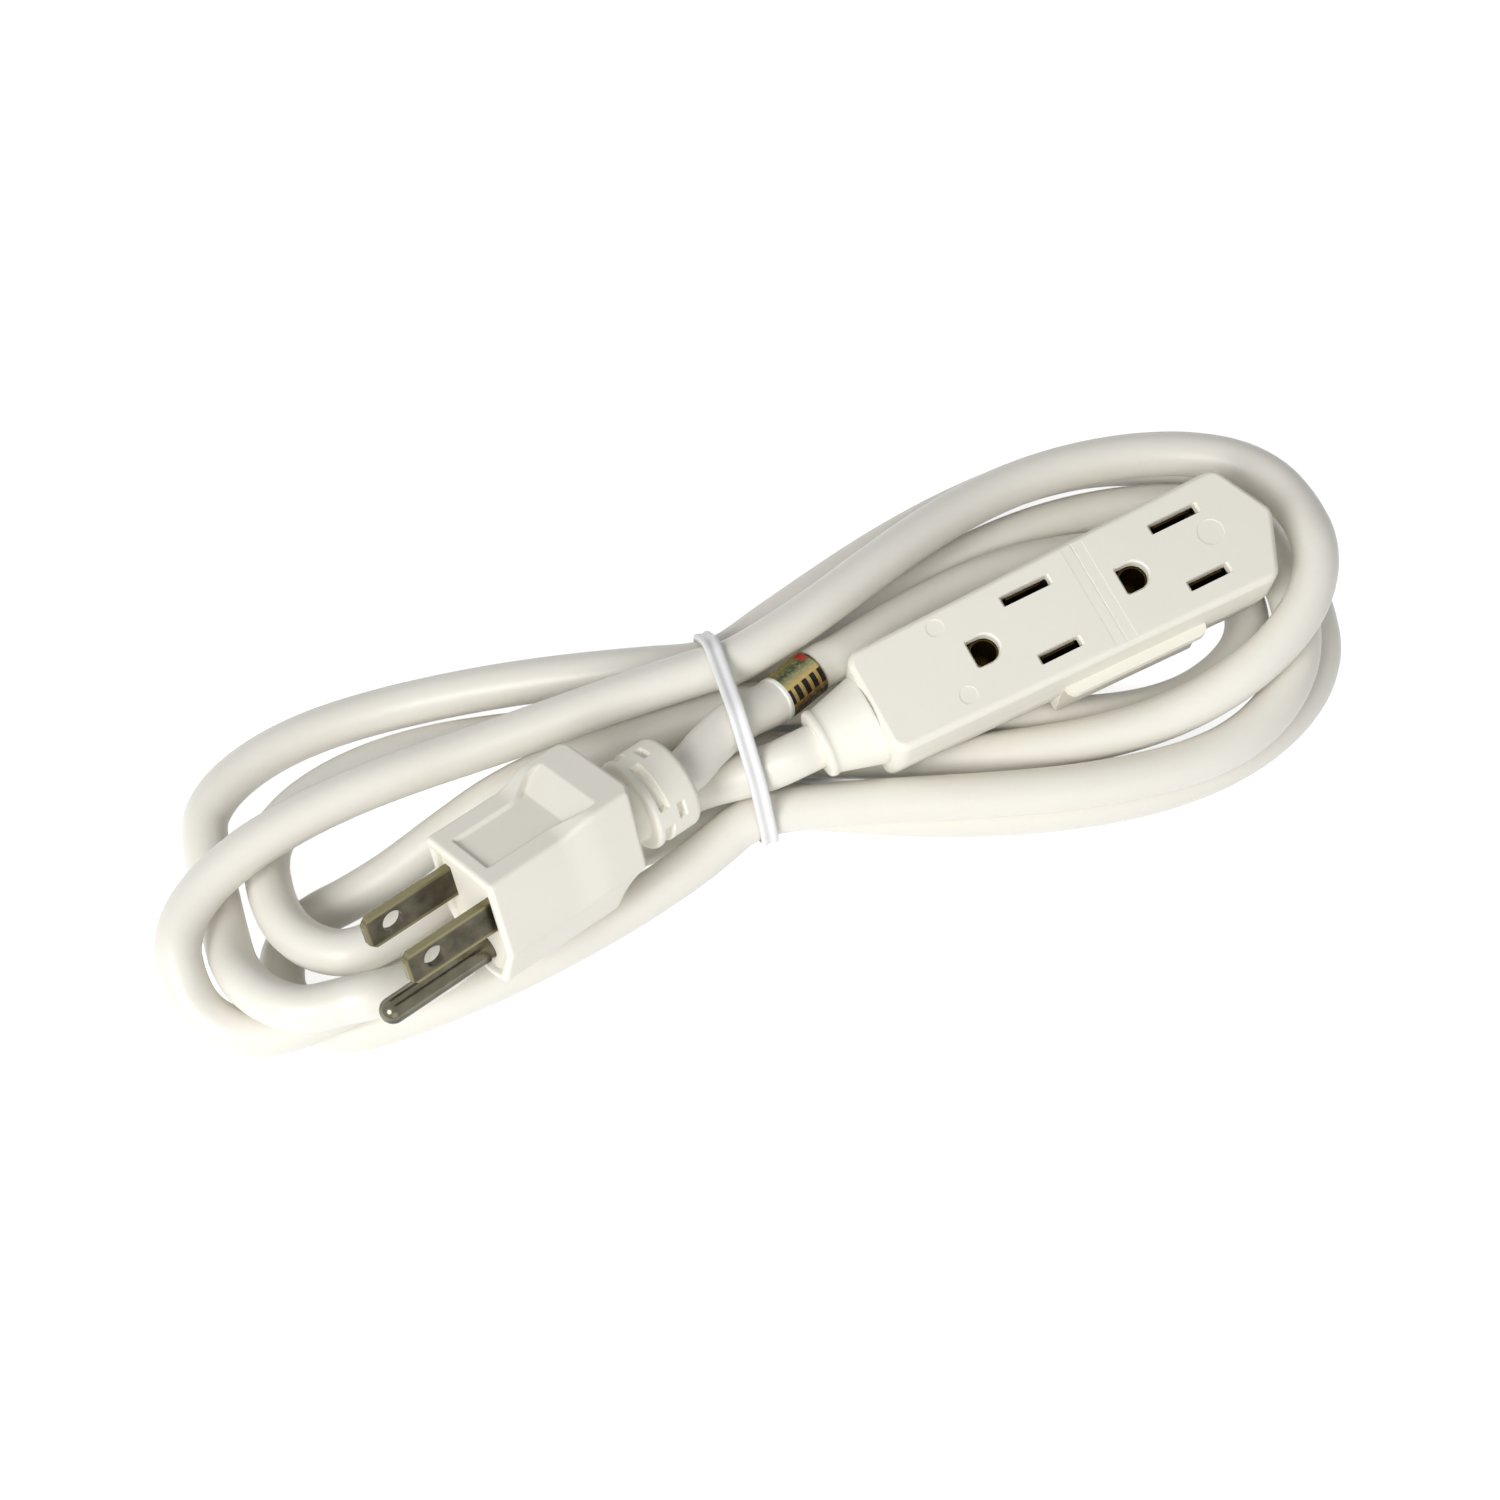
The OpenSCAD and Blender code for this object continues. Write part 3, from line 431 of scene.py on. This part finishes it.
def refined(ring, n):
    """The same closed outline through n points, evenly spaced."""
    spans = [(b - a).length for a, b in zip(ring, ring[1:] + ring[:1])]
    total, out, k, walked = sum(spans), [], 0, 0.0
    for i in range(n):
        want = total * i / n
        while walked + spans[k] < want:
            walked += spans[k]
            k += 1
        share = (want - walked) / max(spans[k], 1e-9)
        out.append(ring[k].lerp(ring[(k + 1) % len(ring)], share))
    return out


def lofted(rings, closed_ends=(True, True)):
    """Points and faces of a skin over rings that have as many points each."""
    n = len(rings[0])
    points = [p for ring in rings for p in ring]
    faces = [
        (k * n + i, k * n + (i + 1) % n, (k + 1) * n + (i + 1) % n, (k + 1) * n + i)
        for k in range(len(rings) - 1) for i in range(n)]
    if closed_ends[0]:
        faces.append(tuple(range(n - 1, -1, -1)))
    if closed_ends[1]:
        faces.append(tuple(range(len(points) - n, len(points))))
    return points, faces


def clamped(t):
    return max(0, min(1, t))


def step(x, low, high):
    """Rises smoothly from 0 at low to 1 at high."""
    return ease(clamped((x - low) / (high - low)))


def flare(x):
    """How far the grip has widened to its rear, from 0 to 1."""
    return step(x, flare_from, flare_to)


def grip_top(x):
    """How far the thumb side stands off the axis: it rises to the rear."""
    return 11.2 + 1.5 * flare(x)


def grip_ring(x, inset):
    """The grip's outline across the plug, inset all round."""
    half = 9.8 + 0.5 * flare(x) - 1.375 * max(0, x - grip_len + 1.6) - inset
    keel, top = 4.5 - inset / 2, inset - grip_top(x)
    side = 5 - 0.5 * flare(x)
    low = 15.5 - inset - max(0, x - grip_len + 6)
    corners = [
        (0, top), (half, top), (half, side), (keel, low - 1), (0, low),
        (-keel, low - 1), (-half, side), (-half, top)]
    r = max(0.3, 0.9 - inset)
    return refined(rounded(corners, [0.01, r, 2.2, 1.6, 4, 1.6, 2.2, r]), grip_n)


def thumb_sink(x, y):
    """How deep the thumb rest is sunk: flat, then ramped up to the crest."""
    half = 5.2 + 2.8 * flare(x)
    inside = step(half - abs(y), -0.2, 0.3) * step(x, 2.7, 3.2)
    ramp = thumb_ramp * clamped((x - ramp_from) / (ramp_to - ramp_from))
    return max(0, grip_top(x) - thumb_floor - ramp) * inside


grip_rings = []
for x, inset in [
        (3, grip_wall), (0.5, grip_wall), (0.1, 1.7), (0, 1.5), (0, 0.7),
        (0.1, 0.4), (0.3, 0.15), (0.7, 0),
        *((0.7 + 29 * k / 116, 0) for k in range(1, 117)),
        (grip_len - 0.4, 0.2), (grip_len - 0.1, 0.6), (grip_len, 1.2),
        (grip_len, 4)]:
    ring = []
    for p in grip_ring(x, inset):
        on_thumb_side = p.y < 0.05 - grip_top(x) and inset < 0.1
        sunk_by = thumb_sink(x, p.x) if on_thumb_side else 0
        ring.append(plug_place @ Vector((x, p.x, p.y + sunk_by)) + shift)
    grip_rings.append(ring)
plug_grip = piece_from("plug_grip", *lofted(grip_rings, (False, True)))
lay(plug_grip, moulding, "moulding", "plug_shell")


# ---------------------------------------------------------------- Plug core
# The pressed insert that holds the blades, set back inside the grip's rim.
# It is harder than the grip and a little creamier.


def soften(node, width, steps=2):
    """Welds a solid's seams and rolls its sharp edges over."""
    piece = frame["nodes"][node]
    piece.data.shade_smooth()
    if "custom_normal" in piece.data.attributes:
        piece.data.attributes.remove(piece.data.attributes["custom_normal"])
    weld = piece.modifiers.new("weld", "WELD")
    weld.merge_threshold = 0.004 * mm
    flat = piece.modifiers.new("flat", "DECIMATE")
    flat.decimate_type = "DISSOLVE"
    flat.angle_limit = math.radians(1)
    edge = piece.modifiers.new("edge", "BEVEL")
    edge.width = width * mm
    edge.segments = steps
    edge.limit_method = "ANGLE"
    edge.angle_limit = math.radians(34)
    edge.harden_normals = True
    return piece


insert = vinyl("insert", shade(242, 238, 224), shade(231, 225, 208), 0.5)
lay(soften("plug_core", 0.12), insert, "core")


# ---------------------------------------------------------------- Blades
# Two pierced blades and the round ground pin, in nickel-washed brass that
# has gone to a dark olive. Their rims are coined, so they catch the light,
# and a lighter colour is painted along them as a painted highlight. The
# pin is painted near black on its lower side, as painted shade.

blade_half, blade_drop, blade_out = 3.175, 2.8, 17
rim_highlight_from, rim_highlight_to = 0.3, 0.8
pin_shade_from, pin_shade_to = 8.8, 10.4
scratch_depth = 0.006 * mm


def plated(name, gloss, place):
    """Dulled plating with lengthwise scratches, and the place on the piece."""
    made = Finish(name)
    spot = made.node("Mapping", {"vector_type": "TEXTURE"}, {
        "Vector": made.place, "Location": (place.to_translation() + shift) * mm,
        "Rotation": place.to_euler()})
    drawn = made.node("Mapping", {}, {"Vector": spot, "Scale": (0.1, 1, 1)})
    scratch = made.grain(9000, 3, drawn)
    made.wear(Metallic=0.95, Roughness=gloss + scratch * 0.16,
              Normal=made.relief(scratch, scratch_depth))
    return made, spot


blade_metal, on_blade = plated("blade_metal", 0.24, plug_place)
inward, across = blade_metal.split(on_blade, "X", "Z")
from_edge = blade_half * mm - (across + blade_drop * mm).math("ABSOLUTE")
from_rim = from_edge.math("MINIMUM", inward + blade_out * mm)
panel = blade_metal.blend(
    blade_metal.grain(320, 4) * 1.6 - 0.35, shade(58, 55, 45), shade(102, 97, 82))
# A lighter colour is painted within a hair of the blades' rims: a painted highlight
# where the coined edges catch the light.
blade_metal.wear(Base_Color=blade_metal.blend(
    blade_metal.fade(from_rim, rim_highlight_from * mm, rim_highlight_to * mm),
    shade(128, 122, 92), panel))
for name in ("line_blade", "neutral_blade"):
    lay(soften(name, 0.28), blade_metal, "blade_metal")

pin_metal, on_pin = plated("pin_metal", 0.1, plug_place)
downward = pin_metal.split(on_pin, "Z")[0]
pin_own_tone = pin_metal.blend(
    pin_metal.grain(300, 3), shade(70, 66, 54), shade(138, 133, 115))
# The pin is painted near black on its lower side, as painted shade; elsewhere it keeps
# its own grained tone.
pin_metal.wear(Base_Color=pin_metal.blend(
    pin_metal.fade(downward, pin_shade_from * mm, pin_shade_to * mm), pin_own_tone,
    shade(20, 19, 15)))
lay(soften("ground_pin", 0.1), pin_metal, "blade_metal")


# ---------------------------------------------------------------- Plug relief
# The segmented drum that lets the cord bend at the plug. Two rows of
# pockets are sunk in it, and a smooth flange closes it at the cord.

drum_r = 8.7
pocket_slope = 2.4
drum = [(-1, 5), (0, 6.3), (3.2, 6.3), (3.5, 6.6), (3.5, 7.9), (3.62, 8.3),
        (3.85, 8.55), (4.2, drum_r),
        *((4.2 + 7.9 * k / 60, drum_r) for k in range(1, 61)),
        (12.5, 8.62), (12.85, 8.4), (13.1, 8.1), (13.25, 7.7), (drum_len, 7.2),
        (drum_len, 4.5)]


def turned(name, place, profile, n=128, sink=None):
    """A piece turned about its X axis, from (x, radius) pairs."""
    rings = []
    for x, r in profile:
        ring = []
        for a in (math.tau * k / n for k in range(n)):
            left = r - sink(x, a) if sink else r
            ring.append(place @ Vector((x, left * math.cos(a), left * math.sin(a)))
                        + shift)
        rings.append(ring)
    return piece_from(name, *lofted(rings))


def pockets(x, a):
    """How deep the drum's pockets are: four long arcs, and four short ones."""
    deep = 0
    for start, width, first, span, depth in (
            (5.1, 1.6, 187, 66, 1.4), (8.5, 1.2, 164, 22, 1.2)):
        off = (math.degrees(a) - first) % 90
        if off < span:
            end = start + width
            walls = [step(o, -0.01, pocket_slope) for o in (off, span - off)]
            walls += [step(x, start - 0.2, start + 0.1),
                      1 - step(x, end - 0.1, end + 0.2)]
            deep = max(deep, depth * math.prod(walls))
    return deep


drum_place = plug_place @ Matrix.Translation((grip_len, 0, 0))
plug_drum = turned("plug_drum", drum_place, drum, 360, pockets)
lay(plug_drum, moulding, "moulding", "plug_relief")


# ---------------------------------------------------------------- Block covers
# The front and rear covers of the outlet block, moulded in satin off-white
# vinyl. The front one is slotted for two plugs and has a bevelled edge,
# three faint ejector marks and a shallow band across its middle.

block_shoulder = 77
block_wall = 1.8
parting_z, ceiling_z, face_z = 14.7, 20.0, 22.2
edge_in, edge_rise = 1.3, 1.6
outlets_x, slots_y, ground_back = (35.0, 65.5), 6.35, 11.9
long_slot, short_slot, slot_half = 9.5, 8.0, 1
ground_r, ground_flat, ground_corner = 2.7, 2.55, 0.35
rim_flare = 0.42
bands = ((44.2, 4.3, 0.07), (46.2, 0.3, 0.16))
marks = ((17.1, 7.4, 1.7), (16.4, -6.4, 1.7), (70.1, 1.0, 2.5))
mark_depth = 0.14


def block_half(x):
    return 10.4 + 1.6 * x / block_shoulder


def block_plan(inset, start):
    """The block's outline seen from above, with its wedge tip, inset."""
    r = max(3 - inset, 0.8)
    near, far = block_half(0) - inset, block_half(block_shoulder) - inset
    shoulder = block_shoulder - inset / 2
    return rounded([(start, -near), (shoulder, -far), (block_len - inset, 0),
                    (shoulder, far), (start, near)], [r] * 5, 10)


def on_block(p, z):
    return block_place @ Vector((p.x, p.y, z)) + shift


def front_form():
    """The hollow front cover: down its inside first, then up its outside."""
    sides = [(ceiling_z, block_wall, block_wall), (parting_z, block_wall, block_wall),
             (parting_z, 0, 0), (face_z - edge_rise, 0, 0)]
    for a in (math.pi / 2 * k / 8 for k in range(1, 9)):
        inset = edge_in * (1 - math.cos(a))
        sides.append((face_z - edge_rise * (1 - math.sin(a)), inset, min(inset, 1.2)))
    return piece_from("block_front", *lofted(
        [[on_block(p, z) for p in block_plan(inset, start)]
         for z, inset, start in sides]))


def slot_outline(x, y, length):
    half = length / 2
    return rounded([(x - half, y - slot_half), (x + half, y - slot_half),
                    (x + half, y + slot_half), (x - half, y + slot_half)],
                   [0.25] * 4, 3)


def ground_outline(x):
    """The D of a ground opening, flat on the side away from the slots."""
    arc = [(-ground_r * math.cos(a), ground_r * math.sin(a))
           for a in (math.pi * (k / 24 - 0.5) for k in range(25))]
    upper = [(ground_flat - ground_corner, ground_r),
             (ground_flat, ground_r - ground_corner)]
    lower = [(u, -v) for u, v in upper[::-1]]
    return [Vector((x - u, v)) for u, v in arc + upper + lower]


def opening(outline):
    """A cutter through the face, flared there to leave a bevelled rim."""
    middle = sum(outline, Vector((0, 0))) / len(outline)
    return piece_from("cutter", *lofted([
        [on_block(p + (p - middle).normalized() * grow, face_z + rise) for p in outline]
        for rise, grow in ((-5.2, 0), (-0.42, 0), (-0.36, 0.05), (0.04, rim_flare),
                           (2, rim_flare))]))


def sunk(outline, deep):
    """A cutter that sinks an area of the front face by a hair."""
    return piece_from("cutter", *lofted(
        [[on_block(p, z) for p in outline] for z in (face_z - deep, face_z + 0.7)]))


def cut(piece, cutters):
    """Cuts every opening out of a piece and clears the cutters away."""
    for tool in cutters:
        made = piece.modifiers.new("opening", "BOOLEAN")
        made.operation = "DIFFERENCE"
        made.solver = "EXACT"
        made.object = tool
    graph = bpy.context.evaluated_depsgraph_get()
    piece.data = bpy.data.meshes.new_from_object(piece.evaluated_get(graph))
    piece.modifiers.clear()
    for tool in cutters:
        bpy.data.objects.remove(tool)
    piece.data.shade_smooth()
    piece.data.set_sharp_from_angle(angle=math.radians(30))
    even = piece.modifiers.new("even", "WEIGHTED_NORMAL")
    even.keep_sharp = True
    return piece


front_cutters = [
    sunk([Vector(p) for p in ((x, -16), (x + width, -16), (x + width, 16), (x, 16))],
         deep) for x, width, deep in bands]
for x, y, r in marks:
    front_cutters.append(sunk(
        [Vector((x + r * math.cos(a), y + r * math.sin(a)))
         for a in (math.tau * k / 48 for k in range(48))], mark_depth))
for x in outlets_x:
    front_cutters += [
        opening(slot_outline(x, slots_y, long_slot)),
        opening(slot_outline(x, -slots_y, short_slot)),
        opening(ground_outline(x - ground_back))]
block_front = cut(front_form(), front_cutters)
lay(block_front, moulding, "moulding", "block_front_cover")
lay(soften("block_rear_cover", 0.3), moulding, "moulding")


# ---------------------------------------------------------------- Block relief
# The soft cone that guards the cord where it enters the block, with a
# faint lip at its small end.

cone = [(-cone_len, 4.3), (-cone_len, 5.8), (-10.3, 6.1), (-10.05, 6.3),
        (-9.7, 6.4), (-9.2, 6.42), (-9.0, 6.34), (-8.8, 6.24), (-8.1, 6.3),
        *((-8.1 + 7.9 * k / 12, 6.3 + 2.2 * k / 12) for k in range(1, 13)),
        (0.1, 8.5), (0.1, 4.5), (6, 4.5)]
cone_place = block_place @ Matrix.Translation((0, 0, cone_z))
lay(turned("block_cone", cone_place, cone), moulding, "moulding", "block_relief")


# ---------------------------------------------------------------- Contacts
# Inside the block, brass strips with sprung leaves and rolled sleeves lie
# on a plastic carrier, and insulated conductors are crimped to them. The
# brass and the carrier are painted dark, as painted shade inside the block.

# The brass is painted far darker than brass, as painted shade for the shut, dark inside
# of the block.
brass, _ = plated("contact_brass", 0.3, Matrix.Identity(4))
brass.wear(Base_Color=brass.blend(
    brass.grain(260, 4) * 1.5 - 0.3, shade(52, 40, 18), shade(104, 82, 42)))
for name in ("line_bus", "neutral_bus", "ground_bus", "ground_sleeve_1",
             "ground_sleeve_2", "ground_sleeve_rear"):
    lay(soften(name, 0.08, 1), brass, "contact_brass")
# The carrier is painted near black, as painted shade for the dark inside of the block.
carrier = vinyl("carrier", shade(40, 38, 36), shade(30, 28, 26), 0.5)
lay(frame["nodes"]["block_carrier"], carrier, "carrier")
for line, light, dark in (
        ("line", (34, 34, 36), (20, 20, 22)),
        ("neutral", (238, 238, 236), (222, 222, 218)),
        ("ground", (34, 128, 66), (20, 92, 46))):
    sleeve = vinyl("wire_" + line, shade(*light), shade(*dark), 0.4)
    for end in ("block", "plug"):
        lay(soften(f"{end}_wire_{line}", 0.1), sleeve, "wire_" + line)


# ---------------------------------------------------------------- Label
# A foil label rolled round the plug's end of the cord. It is gold, with dark
# green bands, rows of plain dark dashes, a red mark and a clear end, and is
# painted dark brown at the edges of each band as painted shade.

label_from, label_to = 25.9, 36.1
label_r, label_thick, label_n = 4.38, 0.22, 64
rows_round, first_row = 2, 1.95
dashes_along = 5
crease_depth = 0.04 * mm

run, label_line = 0.0, []
for a, b in zip(cord_line, cord_line[1:]):
    if label_from <= run <= label_to:
        label_line.append(a)
    run += (b - a).length


def sleeved(name, line, radius, thick, n):
    """A thin sleeve over a line, with a map of lengthways and round it."""
    rings = []
    for k, p in enumerate(line):
        ahead = (line[min(k + 1, len(line) - 1)] - line[max(k - 1, 0)]).normalized()
        side = ahead.cross(Vector((0, 0, 1))).normalized()
        rise = side.cross(ahead)
        rings.append([p + radius * (math.cos(a) * side + math.sin(a) * rise)
                      for a in (math.tau * i / n for i in range(n))])
    piece = piece_from(name, *lofted(rings, (False, False)))
    wrap = piece.data.uv_layers.new(name="wrap")
    for face in piece.data.polygons:
        on_seam = max(v % n for v in face.vertices) == n - 1
        for at, vertex in zip(face.loop_indices, face.vertices):
            k, i = divmod(vertex, n)
            if on_seam and i == 0:
                i = n
            wrap.data[at].uv = (k / (len(line) - 1), i / n)
    wall = piece.modifiers.new("wall", "SOLIDIFY")
    wall.thickness = thick * mm
    wall.offset = 1
    return piece


def between(value, low, high):
    """One where a value lies between two bounds, and zero elsewhere."""
    return value.math("GREATER_THAN", low) * value.math("LESS_THAN", high)


foil = Finish("label_foil")
along, around = foil.split(foil.node("UVMap", {"uv_map": "wrap"}, {}), "X", "Y")
row = (first_row - around * rows_round).math("FRACT")
# The stops darken to brown at both ends of the band, where the label turns away to its
# edges: painted shade, beside the printed bands.
print_and_painted_shade = foil.node("ValToRGB", {"stops": [
    (0.0, shade(120, 98, 52)), (0.10, shade(192, 168, 100)),
    (0.26, shade(98, 104, 62)), (0.34, shade(52, 66, 44)),
    (0.44, shade(150, 146, 104)), (0.52, shade(196, 170, 104)),
    (0.76, shade(150, 118, 62)), (0.86, shade(60, 42, 22))]}, {"Fac": row})
dash = (along * dashes_along).math("FRACT")
for share, colour in (
        ((foil.grain(1400, 4) - 0.5) * 2.2, shade(204, 196, 150)),
        (between(row, 0.54, 0.75) * between(dash, 0.3, 0.88), shade(26, 24, 18)),
        (between(row, 0.16, 0.34) * between(along, 0.78, 0.94), shade(190, 62, 48)),
        (along.math("LESS_THAN", 0.1), shade(232, 230, 222))):
    print_and_painted_shade = foil.blend(share, print_and_painted_shade, colour)
crease = foil.grain(700, 3)
foil.wear(Base_Color=print_and_painted_shade, Metallic=0.45, Roughness=crease * 0.2 + 0.3,
          Normal=foil.relief(crease, crease_depth))
label = sleeved("cord_wrap", label_line, label_r, label_thick, label_n)
lay(label, foil, "label_foil", "cord_label")


# ---------------------------------------------------------------- Tie
# A thin white plastic tie with two glossy ribs, drawn tight round the nine
# strands. Its ends are twisted together.

strand_r, top_strand_r = 4.5, 6.2
circle_n, tie_n, look_ahead = 90, 300, 3
rib_half = [(0, 0.71), (0.2, 0.74), (0.4, 0.82), (0.65, 0.94), (0.95, 1.0),
            (1.3, 0.92), (1.5, 0.75), (1.6, 0.5), (1.6, 0.0)]
rib = [(-w, t) for w, t in rib_half[:0:-1]] + rib_half


def hull(points):
    """The convex outline round flat points."""
    points = sorted(points)
    sides = []
    for row in (points, points[::-1]):
        side = []
        for p in row:
            while len(side) > 1 and (
                    (side[-1][0] - side[-2][0]) * (p[1] - side[-2][1])
                    - (side[-1][1] - side[-2][1]) * (p[0] - side[-2][0])) <= 0:
                side.pop()
            side.append(p)
        sides += side[:-1]
    return sides


strands = [(through_a, strand_r), (through_c3, strand_r), (through_b1, strand_r),
           (through_b2, strand_r), (through_c4, strand_r),
           (through_t1, top_strand_r), (through_t2, top_strand_r)]
angles = [math.tau * k / circle_n for k in range(circle_n)]
outline = refined([Vector(p) for p in hull([
    (y + r * math.cos(a), z + r * math.sin(a))
    for (y, z), r in strands for a in angles])], tie_n)
tie_rings = []
for k, p in enumerate(outline):
    ahead = (outline[(k + look_ahead) % tie_n] - outline[k - look_ahead]).normalized()
    out = Vector((ahead.y, -ahead.x))
    tie_rings.append([Vector((tie_x + w, *(p + out * t))) + shift for w, t in rib])
tie = piece_from("tie_band", *lofted([*tie_rings, tie_rings[0]], (False, False)))
tie_plastic = vinyl("tie_plastic", shade(238, 238, 238), shade(224, 224, 224), 0.36)
lay(tie, tie_plastic, "tie_plastic", "cord_tie")
lay(soften("tie_twist", 0.1), tie_plastic, "tie_plastic")


# ---------------------------------------------------------------- Studio
# A plain white table with a painted shadow under the hank's waist, a sky that
# is darker at the far right, and two soft lamps at the left and in front.

table_half, table_z = 3, -0.84 * mm
painted_shadow_at, painted_shadow_core, painted_shadow_edge = (11 * mm, 0, 0), 9 * mm, 14 * mm
sky_side = (-0.6, -0.6, 0.5)


def shown(nodes):
    """One for a ray that shows the background: straight, mirrored or through."""
    camera, mirror, through = (
        nodes.node("LightPath", {}, {}, f"Is {kind} Ray")
        for kind in ("Camera", "Glossy", "Transmission"))
    return camera.math("MAXIMUM", mirror).math("MAXIMUM", through)


table_mesh = bpy.data.meshes.new("table")
table_mesh.from_pydata(
    [(x * table_half, y * table_half, table_z)
     for x, y in ((-1, -1), (1, -1), (1, 1), (-1, 1))], [], [(0, 1, 2, 3)])
table = placed("table", table_mesh)
white = Finish("table")
on_plan = white.node("Mapping", {}, {"Vector": white.place, "Scale": (1, 1, 0)})
# The table's glow fades out round the hank's waist: a painted shadow for the gaps
# between the cords there.
from_waist = white.node(
    "VectorMath", {"operation": "DISTANCE"}, {0: on_plan, 1: painted_shadow_at}, "Value")
outside_painted_shadow = white.fade(from_waist, painted_shadow_core, painted_shadow_edge, 0.02, how="LINEAR")
white.wear(
    Base_Color=(0.8, 0.8, 0.8), Roughness=0.9,
    Emission_Color=white.blend(outside_painted_shadow * shown(white), (0, 0, 0), (1, 1, 1)),
    Emission_Strength=0.8)
table_mesh.materials.append(white.material)

world = bpy.data.worlds.new("studio")
bpy.context.scene.world = world
world.use_nodes = True
sky = Nodes(world.node_tree)
toward = sky.node("VectorMath", {"operation": "DOT_PRODUCT"}, {
    0: sky.node("TexCoord", {}, {}, "Generated"), 1: sky_side}, "Value")
level = sky.fade(toward, -0.6, 0.9, 0.08, 0.66, "LINEAR")
background = sky.tree.nodes["Background"].inputs
sky.join(background["Color"], (1, 1, 1))
sky.join(background["Strength"], level.math("MAXIMUM", shown(sky)))

for name, place, size, power in (
        ("key", (-0.44, -0.25, 0.6), 0.4, 3.6),
        ("front", (0, -0.9, 0.5), 0.8, 1.3)):
    lamp = bpy.data.lights.new(name, "AREA")
    lamp.shape = "DISK"
    lamp.size = size
    lamp.energy = power
    aimed(name, lamp, place)
bpy.context.scene.view_settings.view_transform = "Standard"
